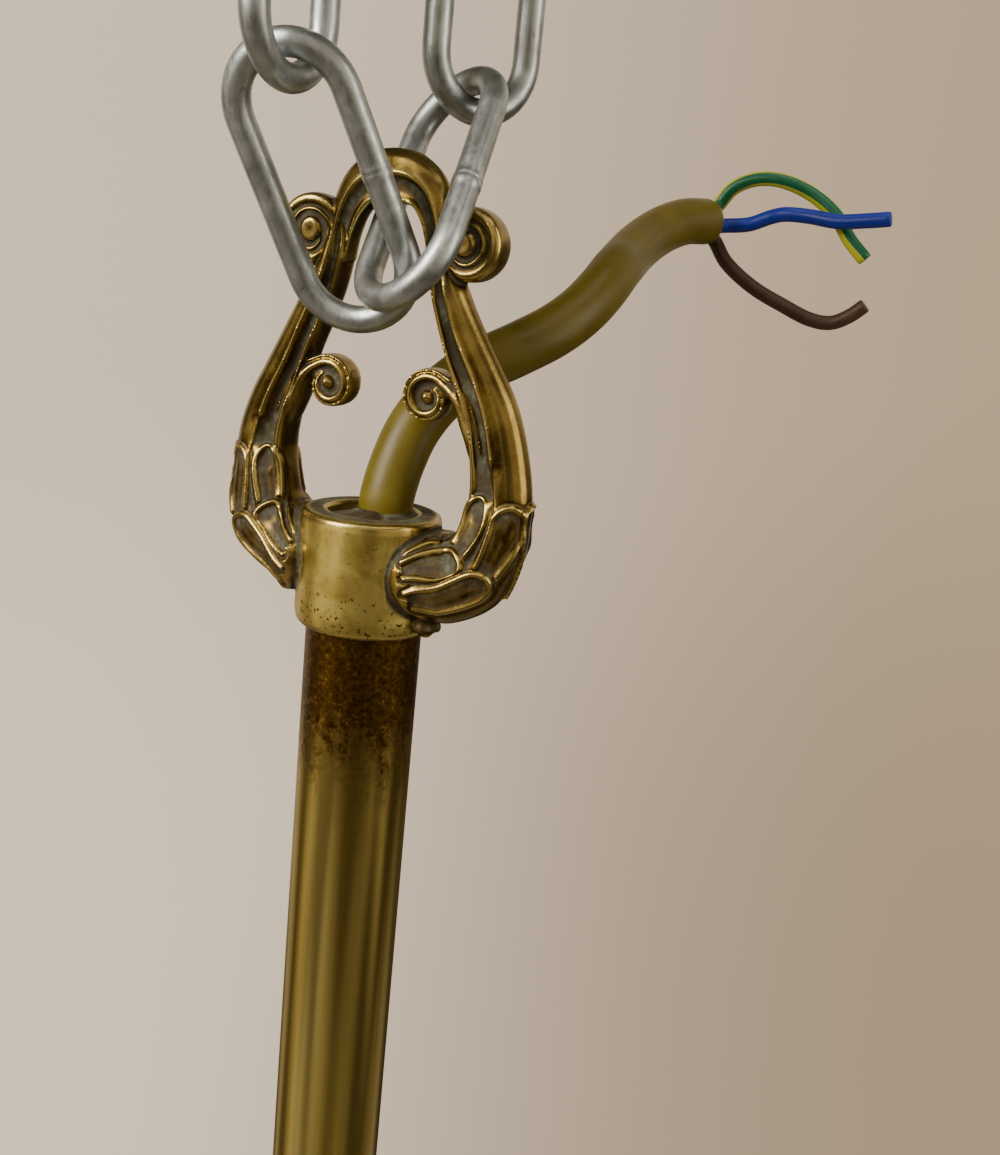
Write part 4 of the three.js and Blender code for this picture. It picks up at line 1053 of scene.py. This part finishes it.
def with_putty(piece):
    """Adds the old putty round the cable, with a hole left open behind it on the left."""
    rings = []
    cable_at = np.array((1.2, 1.05))
    for j in range(96):
        turn = 2 * math.pi * j / 96
        way = np.array((math.cos(turn), math.sin(turn)))
        along = cable_at @ way
        reach = -along + math.sqrt(along * along + 5.3 ** 2 - cable_at @ cable_at)
        open_share = math.exp(-(((turn - math.radians(172)) / 0.55) ** 2))
        lumps = 0.14 * math.sin(3 * turn + 1) + 0.1 * math.sin(7 * turn) + 0.06 * math.sin(13 * turn + 2)
        ring = []
        for i in range(9):
            share = i / 8
            spot = cable_at + way * (3.2 + (reach - 3.2) * share)
            swell = 0.55 * (1 - share) ** 2 - 0.25 + lumps * (0.4 + math.sin(math.pi * share))
            fall = 3.2 * open_share * min(1.0, 4 * share) * (1.0 if share < 1 else 0.8)
            ring.append(from_collar((*spot, swell - fall)))
        ring += [from_collar((*spot, -3.5)), from_collar((*(cable_at + way * 3.2), -3.5))]
        rings.append(ring)
    points, faces = skin(rings, loop=True)
    faces = facing_out(points, faces)[1]
    shape = bmesh.new()
    shape.from_mesh(piece.data)
    corners = [shape.verts.new(p) for p in points]
    for face in faces:
        shape.faces.new([corners[v] for v in face]).smooth = True
    shape.to_mesh(piece.data)
    shape.free()


LYRE_VOXEL = 0.15
LYRE_ROUNDS = 9
casting = fused("lyre_casting", lyre(), LYRE_VOXEL, LYRE_ROUNDS)
keep_bores_open(casting)
carve_lyre(casting)
mark_relief(casting, 0.2, 40)
mark_age(casting)
casting = thinned(casting, CAST)
with_putty(casting)
put(casting, "chandelier", "cast_brass", "lyre_hanger")

# Stem and turned body, from the collar down

STEM_TOP = -3.9
STEM_FOOT = STEM_TOP - 290.0
VASE_TOP = STEM_FOOT + 12.0 - GAP
VASE_LOW = VASE_TOP - 58.0
HUB_TOP = VASE_LOW - GAP
HUB_LOW = HUB_TOP - 22.0
HUB_MIDDLE = (HUB_TOP + HUB_LOW) / 2
HUB_RADIUS = 26.0
NUT_LOW = HUB_LOW - GAP - 6.0
BOWL_TOP = HUB_LOW - GAP
BOWL_LOW = BOWL_TOP - 50.0
BOWL_RADIUS = 34.0
BOWL_WALL = 2.2
BOWL_FLOOR = BOWL_LOW + 9.0
FINIAL_TOP = BOWL_LOW - GAP
FINIAL_LOW = FINIAL_TOP - 38.0
FINIAL_RADIUS = 9.5
TIE_RADIUS = 5.0
TIE_BORE = 3.7
TIE_TOP = VASE_LOW + 15.0
TIE_LOW = NUT_LOW - GAP
BLOCK_LOW = BOWL_FLOOR + GAP
SOCKET_FROM = HUB_RADIUS - 9.0
TENON_RADIUS = 4.0

# Shares of a piece's radius and height, from its foot up
VASE_SHARES = [
    (0.5, 0), (0.62, 0.02), (0.62, 0.07), (0.42, 0.12), (0.46, 0.2), (0.78, 0.33), (0.98, 0.46),
    (0.98, 0.56), (0.8, 0.66), (0.56, 0.73), (0.52, 0.78), (0.64, 0.82), (0.64, 0.88), (0.56, 0.92),
    (0.56, 1),
]
HUB_SHARES = [
    (0.62, 0), (0.7, 0.05), (0.94, 0.16), (1, 0.26), (1, 0.74), (0.94, 0.84), (0.62, 0.95), (0.5, 1),
]
BOWL_SHARES = [
    (0.2, 0), (0.34, 0.02), (0.4, 0.1), (0.62, 0.2), (0.86, 0.36), (0.98, 0.56), (1, 0.72), (0.92, 0.84),
    (0.76, 0.92), (0.72, 1),
]
FINIAL_SHARES = [
    (0, 0), (0.26, 0.01), (0.42, 0.07), (0.42, 0.14), (0.26, 0.2), (0.3, 0.26), (0.72, 0.38), (0.98, 0.54),
    (0.98, 0.64), (0.7, 0.76), (0.42, 0.82), (0.5, 0.88), (0.72, 0.92), (0.72, 1), (0, 1),
]


def profile(shares, radius, low, height, steps=5):
    """A turned profile through shares of a piece's radius and height."""
    points = [(share * radius, low + rise * height, 0) for share, rise in shares]
    return [(p[0], p[1]) for p in smooth_route(points, steps)]


def moved(shell, way):
    return [tuple(way @ Vector(p)) for p in shell[0]], shell[1]


def rod(radius, start, end, sides=48, way=Matrix.Identity(4)):
    """A round bar from one height to another, then turned or moved by a matrix."""
    points, faces = turned([(0.0, start), (radius, start), (radius, end), (0.0, end)], sides)
    return moved((points, faces), way)


def arm_turn(index):
    return Matrix.Rotation(math.pi / 2 + index * 2 * math.pi / ARM_COUNT, 4, "Z")


def drilled(piece, cuts):
    """The same piece with closed shapes cut out of it."""
    name = piece.name
    cutters = [mesh_object("cutter", [from_collar(p) for p in points], faces) for points, faces in cuts]
    for cutter in cutters:
        cut = piece.modifiers.new("cut", "BOOLEAN")
        cut.operation = "DIFFERENCE"
        cut.solver = "EXACT"
        cut.object = cutter
    made = applied(piece, name)
    for cutter in cutters:
        bpy.data.objects.remove(cutter)
    made.data.polygons.foreach_set("use_smooth", [True] * len(made.data.polygons))
    made.data.set_sharp_from_angle(angle=math.radians(32))
    return made


def hex_nut(name, centre, across, bore, low, high):
    """A nut with six flats, corners turned off at both ends and a bore."""
    flat = across / 2
    rings = []
    for j in range(96):
        turn = 2 * math.pi * j / 96
        corner = flat / math.cos((turn + math.pi / 6) % (math.pi / 3) - math.pi / 6)
        fall = (corner - flat) * math.tan(math.radians(30)) + 0.12
        section = [
            (bore + 0.4, low), (flat * 0.98, low), (corner, low + fall), (corner, high - fall),
            (flat * 0.98, high), (bore + 0.4, high), (bore, high - 0.4), (bore, low + 0.4),
        ]
        rings.append([
            from_collar((centre[0] + r * math.cos(turn), centre[1] + r * math.sin(turn), z))
            for r, z in section
        ])
    points, faces = skin(rings, loop=True)
    made = mesh_object(name, points, facing_out(points, faces)[1], ZINC)
    made.data.set_sharp_from_angle(angle=math.radians(25))
    return made


stem_outline = [(6.0, STEM_FOOT), (STEM_RADIUS, STEM_FOOT), (STEM_RADIUS, STEM_TOP), (6.0, STEM_TOP)]
put(
    turned_piece("stem", stem_outline, LACQUER, 0.15, 128, True, steps=2),
    "chandelier", "lacquered_brass", "stem_tube",
)
vase_outline = [
    (TIE_RADIUS + GAP, VASE_LOW), *profile(VASE_SHARES, 15.5, VASE_LOW, 58.0), (STEM_RADIUS + GAP, VASE_TOP),
    (STEM_RADIUS + GAP, VASE_TOP - 12.0), (TIE_BORE, VASE_TOP - 12.0), (TIE_BORE, TIE_TOP + GAP),
    (TIE_RADIUS + GAP, TIE_TOP + GAP),
]
put(turned_piece("vase", vase_outline, TURNED, 0.5, 96, True), "chandelier", "turned_brass", "stem_vase")
tie_outline = [(TIE_BORE, TIE_LOW), (TIE_RADIUS, TIE_LOW), (TIE_RADIUS, TIE_TOP), (TIE_BORE, TIE_TOP)]
put(turned_piece("tie", tie_outline, ZINC, 0.3, 64, True), "chandelier", "zinc", "tie_tube")
hub_outline = [
    (TIE_RADIUS + GAP, HUB_LOW), *profile(HUB_SHARES, HUB_RADIUS, HUB_LOW, 22.0), (TIE_RADIUS + GAP, HUB_TOP),
]
sideways = Matrix.Rotation(math.pi / 2, 4, "Y")
level_hub = Matrix.Translation((0, 0, HUB_MIDDLE))
sockets = [
    rod(TENON_RADIUS + GAP, SOCKET_FROM, 2 * HUB_RADIUS, 48, level_hub @ arm_turn(i) @ sideways)
    for i in range(ARM_COUNT)
]
hub = drilled(turned_piece("hub", hub_outline, TURNED, 0.6, 120, True), sockets)
put(hub, "chandelier", "turned_brass", "arm_hub")
hub_nut = hex_nut("hub_nut_turned", (0, 0), 17.0, TIE_RADIUS + GAP, NUT_LOW, HUB_LOW - GAP)
put(hub_nut, "chandelier", "zinc", "hub_nut")

bowl_outside = profile(BOWL_SHARES, BOWL_RADIUS, BOWL_LOW, 50.0)
bowl_inside = [(r - BOWL_WALL, z) for r, z in reversed(bowl_outside) if z > BOWL_FLOOR + 1]
bowl_outline = [
    (3.8, BOWL_LOW), *bowl_outside, *bowl_inside, (bowl_inside[-1][0] - 1.5, BOWL_FLOOR), (3.8, BOWL_FLOOR),
]
put(turned_piece("bowl_spun", bowl_outline, TURNED, 0.7, 128, True), "chandelier", "turned_brass", "bowl")
drop = profile(FINIAL_SHARES[:-1], FINIAL_RADIUS, FINIAL_LOW, 38.0)
spigot = [(3.5, FINIAL_TOP), (3.5, FINIAL_TOP + 6.0), (0.0, FINIAL_TOP + 6.0)]
put(turned_piece("drop", drop + spigot, TURNED, 0.5, 96), "chandelier", "turned_brass", "finial")

STEM_CABLE_ROUTE = [
    (1.2, 1, -1.9), (1.2, 1, -8), (0.6, 0.5, -40), (0, 0, -90), (0, 0, -200), (0, 0, BLOCK_LOW + 14.0 + GAP),
]
inner_cable = cord_tube("inner_cable", STEM_CABLE_ROUTE, CABLE_DIAMETER, OLIVE, sides=24, steps=5)
put(inner_cable, "chandelier", "olive_sheath", "cable_in_stem")


def terminal_block():
    """The block that the arms' wires meet in, with two rows of holes for its clamping screws."""
    points = [(x, y, z) for x in (-11, 11) for y in (-8, 8) for z in (BLOCK_LOW, BLOCK_LOW + 14.0)]
    faces = [(0, 1, 3, 2), (4, 6, 7, 5), (0, 4, 5, 1), (2, 3, 7, 6), (0, 2, 6, 4), (1, 5, 7, 3)]
    body = mesh_object("block", [from_collar(p) for p in points], faces, BLACK)
    edge = body.modifiers.new("edge", "BEVEL")
    edge.width = 0.8 * MM
    edge.segments = 3
    body = applied(body, "block")
    outward = Matrix.Rotation(math.pi / 2, 4, "X")
    holes = []
    for height in (9.0, 4.5):
        for x in (-7, 0, 7):
            holes.append(rod(1.5, 6.5, 9.0, 24, Matrix.Translation((x, 0, BLOCK_LOW + height)) @ outward))
    return drilled(body, holes)


put(terminal_block(), "chandelier", "black_plastic", "terminal_block")

# Arms: one casting, copied round the hub

# Out from the stem's axis, up, width and depth, as shares of the span, the dip and the arm's size
BRANCH_SHARES = [
    (0.139, 0, 1, 1), (0.17, 0.012, 1, 1), (0.28, 0.28, 0.98, 1), (0.4, 0.12, 1, 1),
    (0.56, -0.56, 1.06, 1.03), (0.73, -1.01, 1, 0.97), (0.88, -0.86, 0.9, 0.9), (0.97, -0.34, 0.84, 0.88),
    (1, 0.12, 0.8, 0.9),
]
BRANCH_WIDTH, BRANCH_DEPTH = 8.6, 7.6
CURL_RADIUS, CURL_BAND, CURL_DEPTH = 12.0, 3.4, 5.0
CURLS = [
    ([(0.5, -0.26, 1.2, 1), (0.42, -0.18, 1.15, 1), (0.355, -0.14, 1.05, 1)], 78, 400),
    ([(0.68, -0.88, 1.2, 1), (0.76, -0.84, 1.15, 1), (0.83, -0.72, 1.05, 1)], -58, 262),
]
CURL_SECTION = [
    (-1.0, 0.0), (-0.96, -0.6), (-0.8, -0.86), (-0.5, -0.8), (-0.2, -0.66), (0.15, -0.68), (0.45, -0.86),
    (0.7, -1.0), (0.88, -0.84), (0.97, -0.45), (1.0, 0.0),
]
BRANCH_SECTION = [
    (-1.0, 0.0), (-0.97, -0.36), (-0.85, -0.62), (-0.66, -0.74), (-0.46, -0.62), (-0.3, -0.64),
    (-0.15, -0.88), (0.0, -1.0), (0.15, -0.9), (0.35, -0.8), (0.6, -0.68), (0.84, -0.46), (0.97, -0.22),
    (1.0, 0.0),
]
BRANCH_TOP = HUB_MIDDLE + 0.12 * BRANCH_DIP
SEAT_TOP = BRANCH_TOP + 4.0
SPIGOT_RADIUS = 3.8
SPIGOT_TOP = SEAT_TOP + 14.0


def curl(shares, start, end):
    stations = [
        (x * BRANCH_SPAN, z * BRANCH_DIP + HUB_MIDDLE, w * CURL_BAND, d * CURL_DEPTH, 0.0)
        for x, z, w, d in shares
    ]
    radius = CURL_RADIUS - CURL_BAND / 2
    first = math.radians(start)
    centre = (stations[-1][0] - radius * math.cos(first), stations[-1][1] - radius * math.sin(first))
    for i in range(1, 25):
        share = i / 24
        angle = math.radians(start + (end - start) * share)
        reach = radius * (1 - 0.68 * share ** 1.6)
        place = (centre[0] + reach * math.cos(angle), centre[1] + reach * math.sin(angle))
        stations.append((*place, CURL_BAND * (1 - 0.25 * share), CURL_DEPTH * (1 - 0.1 * share), 0.0))
    return bar(stations, (whole_section(CURL_SECTION),), 3), (place[0], place[1])


def branch_shells():
    stations = [
        (x * BRANCH_SPAN, z * BRANCH_DIP + HUB_MIDDLE, w * BRANCH_WIDTH, d * BRANCH_DEPTH, 0.0)
        for x, z, w, d in BRANCH_SHARES
    ]
    outward = level_hub @ sideways
    upright = Matrix.Translation((BRANCH_SPAN, 0, 0))
    seat_low = BRANCH_TOP - 2.0
    seat = [(0.0, seat_low), (4.6, seat_low), (6.5, BRANCH_TOP), (6.5, SEAT_TOP), (0.0, SEAT_TOP)]
    bead = [(0.0, 31.0), (4.4, 31.2), (5.6, 32.6), (5.6, 33.4), (4.4, 34.8), (0.0, 35.0)]
    shells = [
        bar(stations, (whole_section(BRANCH_SECTION),), 8),
        rod(TENON_RADIUS, SOCKET_FROM + GAP, 0.17 * BRANCH_SPAN, 48, outward),
        moved(turned(softened(bead, 0.6), 64), outward),
        moved(turned(softened(seat, 0.7), 64), upright),
        rod(SPIGOT_RADIUS, BRANCH_TOP, SPIGOT_TOP, 48, upright),
    ]
    for shares, start, end in CURLS:
        winding, tip = curl(shares, start, end)
        shells += [winding, disc(tip, 2.3, 6.0, 0.9)]
    return shells


arm = fused("arm", branch_shells(), 0.42, 3)
mark_relief(arm, 0.3, 14)
arm = thinned(arm, CAST, 60000)
for index in range(ARM_COUNT):
    turned_arm = bpy.data.objects.new(f"arm_casting_{index + 1}", arm.data.copy())
    turned_arm.data.transform(arm_turn(index))
    bpy.context.scene.collection.objects.link(turned_arm)
    put(turned_arm, "chandelier", "cast_brass", f"arm_{index + 1}")
bpy.data.objects.remove(arm)

# Pan, cup, sleeve and holder on each arm

PAN_LOW = SEAT_TOP + GAP
PAN_RADIUS = 28.3
CUP_LOW = PAN_LOW + 1.4 + GAP
CUP_FLOOR = CUP_LOW + 5.0
SLEEVE_LOW = CUP_FLOOR + GAP
SLEEVE_TOP = SLEEVE_LOW + 66.0
SLEEVE_RADIUS = 12.0
HOLDER_TOP = SLEEVE_TOP - 1.5
SOCKET_FLOOR = HOLDER_TOP - 24.0
SCREW_HOLE = SPIGOT_RADIUS + GAP


def thread_outline():
    """The screw shell inside a holder, from the mouth down, always wider than the lamp's cap."""
    points = []
    for i in range(49):
        share = i / 48
        points.append((7.2 + 0.3 * math.sin(math.pi * share * 7) ** 2, HOLDER_TOP - 2.0 - 19.6 * share))
    return points


pan_curve = [(0.6, 0.0), (0.72, 0.1), (0.85, 0.42), (0.95, 0.82), (1.0, 1.0)]
pan_under = [(share * PAN_RADIUS, PAN_LOW + rise * 2.0) for share, rise in pan_curve]
pan_outline = [
    (SCREW_HOLE, PAN_LOW), *pan_under, (PAN_RADIUS, PAN_LOW + 3.4), (PAN_RADIUS - 0.9, PAN_LOW + 3.4),
    *[(r - 0.35, z + 1.35) for r, z in reversed(pan_under[:-1])], (SCREW_HOLE, PAN_LOW + 1.4),
]
cup_shares = [
    (0.48, 0), (0.6, 0.05), (0.76, 0.14), (0.87, 0.3), (0.88, 0.55), (0.87, 0.72), (0.92, 0.88), (1, 1),
]
cup_outside = profile(cup_shares, 15.5, CUP_LOW, 19.0)
cup_outline = [
    (SCREW_HOLE, CUP_LOW), *cup_outside, (14.1, CUP_LOW + 19.0), (12.8, CUP_LOW + 16.0),
    (SLEEVE_RADIUS + GAP, CUP_LOW + 14.4), (SLEEVE_RADIUS + GAP, CUP_FLOOR), (SCREW_HOLE, CUP_FLOOR),
]
sleeve_outline = [
    (SLEEVE_RADIUS - 1, SLEEVE_LOW), (SLEEVE_RADIUS, SLEEVE_LOW), (SLEEVE_RADIUS, SLEEVE_TOP),
    (SLEEVE_RADIUS - 1, SLEEVE_TOP),
]
holder_outline = [
    (0.0, SPIGOT_TOP + GAP), (SCREW_HOLE, SPIGOT_TOP + GAP), (SCREW_HOLE, SLEEVE_LOW), (7.0, SLEEVE_LOW),
    (7.0, SOCKET_FLOOR - 12.0), (9.5, SOCKET_FLOOR - 8.0), (9.5, HOLDER_TOP), (7.2, HOLDER_TOP),
    *thread_outline(), (7.2, SOCKET_FLOOR), (0.0, SOCKET_FLOOR),
]
for index in range(ARM_COUNT):
    place = arm_turn(index) @ Vector((BRANCH_SPAN, 0, 0))
    for name, outline, finish, slot, node, closed in (
        ("pan", pan_outline, TURNED, "turned_brass", "drip_pan", True),
        ("cup", cup_outline, TURNED, "turned_brass", "candle_cup", True),
        ("sleeve", sleeve_outline, IVORY, "ivory_sleeve", "candle_sleeve", True),
        ("holder", holder_outline, BLACK, "black_plastic", "lampholder", False),
    ):
        made = turned_piece(f"{name}_{index + 1}", outline, finish, 0.35, 72, closed, place, 3)
        put(made, "chandelier", slot, f"{node}_{index + 1}")

# Ceiling fitting: a plate, two staples and the nuts on their legs

STAPLE_RADIUS = 2.8
STAPLE_HALF_SPAN = 10.0
STAPLE_CORNER = 6.0
link_reach = (LINK_INNER_LENGTH + LINK_WIRE) / 2
staple_height = (front_hang + rise)[2] + link_reach - LINK_WIRE / 2 - STAPLE_RADIUS - GAP
hang_way = back_hang - front_hang
staple_spacing = math.hypot(hang_way[0], hang_way[1]) / 2
staple_angle = math.atan2(hang_way[1], hang_way[0]) - math.pi / 2
hang_middle = (front_hang + back_hang) / 2
on_plate = Matrix.Translation((hang_middle[0], hang_middle[1], 0)) @ Matrix.Rotation(staple_angle, 4, "Z")
plate_low = staple_height + 17.0
ceiling = plate_low + 4.0
LEG_SIDES = [(-1, -1), (1, -1), (1, 1), (-1, 1)]
legs = [(leg * STAPLE_HALF_SPAN, side * staple_spacing) for leg, side in LEG_SIDES]


def staple(name, side):
    """A bent rod: down one leg, round two corners and up the other leg."""
    line = [(-STAPLE_HALF_SPAN, ceiling - GAP), (-STAPLE_HALF_SPAN, staple_height + STAPLE_CORNER + 3)]
    for corner, first in ((-1, math.pi), (1, 1.5 * math.pi)):
        x, z = corner * (STAPLE_HALF_SPAN - STAPLE_CORNER), staple_height + STAPLE_CORNER
        for i in range(13):
            turn = first + math.pi / 2 * i / 12
            line.append((x + STAPLE_CORNER * math.cos(turn), z + STAPLE_CORNER * math.sin(turn)))
    line += [(STAPLE_HALF_SPAN, staple_height + STAPLE_CORNER + 3), (STAPLE_HALF_SPAN, ceiling - GAP)]
    points = [from_collar(on_plate @ Vector((x, side * staple_spacing, z))) for x, z in line]
    return round_wire(name, points, STAPLE_RADIUS * MM)


put(staple("staple_rod_front", -1), "ceiling", "zinc", "hanger_staple_front")
put(staple("staple_rod_back", 1), "ceiling", "zinc", "hanger_staple_back")
for index, leg in enumerate(legs):
    spot = on_plate @ Vector((*leg, 0))
    nut_top = plate_low - GAP
    nut = hex_nut(f"nut_{index + 1}", spot, 10.0, STAPLE_RADIUS + GAP, nut_top - 5.0, nut_top)
    put(nut, "ceiling", "zinc", f"staple_nut_{index + 1}")
PLATE_RADIUS = 35.0
plate_outline = [
    (0.0, plate_low), (PLATE_RADIUS - 2, plate_low), (PLATE_RADIUS, plate_low + 2.0), (PLATE_RADIUS, ceiling),
    (0.0, ceiling),
]
holes = [
    rod(STAPLE_RADIUS + GAP, plate_low - 2, ceiling + 2, 48, on_plate @ Matrix.Translation((*leg, 0)))
    for leg in legs
]
sink = [
    (0.0, plate_low - 2.0), (5.0, plate_low - 2.0), (5.0, plate_low), (2.5, plate_low + 2.0),
    (2.5, ceiling + 2.0), (0.0, ceiling + 2.0),
]
holes += [moved(turned(sink, 48), on_plate @ Matrix.Translation((side * 25.0, 0, 0))) for side in (-1, 1)]
plate = drilled(turned_piece("plate", plate_outline, ZINC, 0.4, 128, centre=hang_middle), holes)
put(plate, "ceiling", "zinc", "ceiling_plate")

# Floor, world and light

FLOOR_HEIGHT = -2.4
floor = mesh_object(
    "floor",
    [(x, y, FLOOR_HEIGHT) for x, y in ((-2, -2), (2, -2), (2, 2), (-2, 2))],
    [(0, 1, 2, 3)],
    plain("pale floor", (0.82, 0.77, 0.7), (0.86, 0.81, 0.74), 0.7, 3),
)

world = bpy.data.worlds.new("pale room")
bpy.context.scene.world = world
world.use_nodes = True
sky = world.node_tree
background = sky.nodes["Background"]
coordinate = sky.nodes.new("ShaderNodeTexCoord")
room = sky.nodes.new("ShaderNodeTexNoise")
room.inputs["Scale"].default_value = 1.6
room.inputs["Detail"].default_value = 1.0
sky.links.new(coordinate.outputs["Generated"], room.inputs["Vector"])
shade = sky.nodes.new("ShaderNodeValToRGB")
shade.color_ramp.elements[0].position, shade.color_ramp.elements[0].color = 0.42, (0.11, 0.08, 0.045, 1)
shade.color_ramp.elements[1].position, shade.color_ramp.elements[1].color = 0.6, (0.95, 0.8, 0.6, 1)
sky.links.new(room.outputs["Fac"], shade.inputs["Fac"])


def toward(direction, low, high, start, end):
    """A value that changes smoothly from one to another between two shares of a direction."""
    across = sky.nodes.new("ShaderNodeVectorMath")
    across.operation = "DOT_PRODUCT"
    across.inputs[1].default_value = direction
    sky.links.new(coordinate.outputs["Generated"], across.inputs[0])
    fall = sky.nodes.new("ShaderNodeMapRange")
    fall.interpolation_type = "SMOOTHSTEP"
    for name, value in (("From Min", low), ("From Max", high), ("To Min", start), ("To Max", end)):
        fall.inputs[name].default_value = value
    sky.links.new(across.outputs["Value"], fall.inputs["Value"])
    return fall.outputs["Result"]


def shaded(colour, direction, low, high, dark):
    """A colour made darker or brighter toward a direction."""
    scaled = sky.nodes.new("ShaderNodeVectorMath")
    scaled.operation = "SCALE"
    sky.links.new(colour, scaled.inputs[0])
    sky.links.new(toward(direction, low, high, 1.0, dark), scaled.inputs["Scale"])
    return scaled.outputs["Vector"]


# The room is dark behind the camera, overhead and on the floor's right side
room_colour = shaded(shade.outputs["Color"], (0.5, -0.86, 0.1), 0.92, 0.985, 0.2)
room_colour = shaded(room_colour, (0.3, 0.0, -0.95), -0.1, 0.75, 0.25)
room_colour = shaded(room_colour, (0.0, 0.0, 1.0), 0.25, 0.85, 0.3)
# The plain wall: brightest low on the left, with a soft shadow low on the right
wall = sky.nodes.new("ShaderNodeValToRGB")
wall.color_ramp.elements[0].color = (0.99, 0.79, 0.6, 1)
wall.color_ramp.elements[1].color = (0.6, 0.445, 0.285, 1)
sky.links.new(toward((0.93, 0.37, 0.0), -0.36, 0.36, 0.0, 1.0), wall.inputs["Fac"])
wall_colour = shaded(wall.outputs["Color"], (0.04, 0.81, -0.585), 0.84, 1.0, 0.78)
wall_colour = shaded(wall_colour, (-0.58, 0.565, -0.587), 0.86, 1.0, 1.17)
seen = sky.nodes.new("ShaderNodeLightPath")
choice = sky.nodes.new("ShaderNodeMix")
choice.data_type = "RGBA"
sky.links.new(seen.outputs["Is Camera Ray"], choice.inputs[0])
sky.links.new(room_colour, choice.inputs[6])
sky.links.new(wall_colour, choice.inputs[7])
sky.links.new(choice.outputs[2], background.inputs["Color"])
background.inputs["Strength"].default_value = 1.0


def soft_light(name, place, target, size, power, colour=(1, 0.93, 0.84)):
    light = bpy.data.lights.new(name, "AREA")
    light.shape = "RECTANGLE"
    light.size, light.size_y = size
    light.energy = power
    light.color = colour
    lamp = bpy.data.objects.new(name, light)
    bpy.context.scene.collection.objects.link(lamp)
    lamp.location = from_collar(place)
    lamp.rotation_mode = "QUATERNION"
    lamp.rotation_quaternion = (from_collar(target) - lamp.location).to_track_quat("-Z", "Y")
    return lamp


soft_light("window", (-450, -700, 500), (0, 0, 0), (0.5, 0.7), 15)
soft_light("ceiling glow", (100, -150, 900), (0, 0, 0), (0.8, 0.8), 4)
soft_light("far window", (900, 100, 300), (0, 0, 0), (0.3, 0.8), 3)
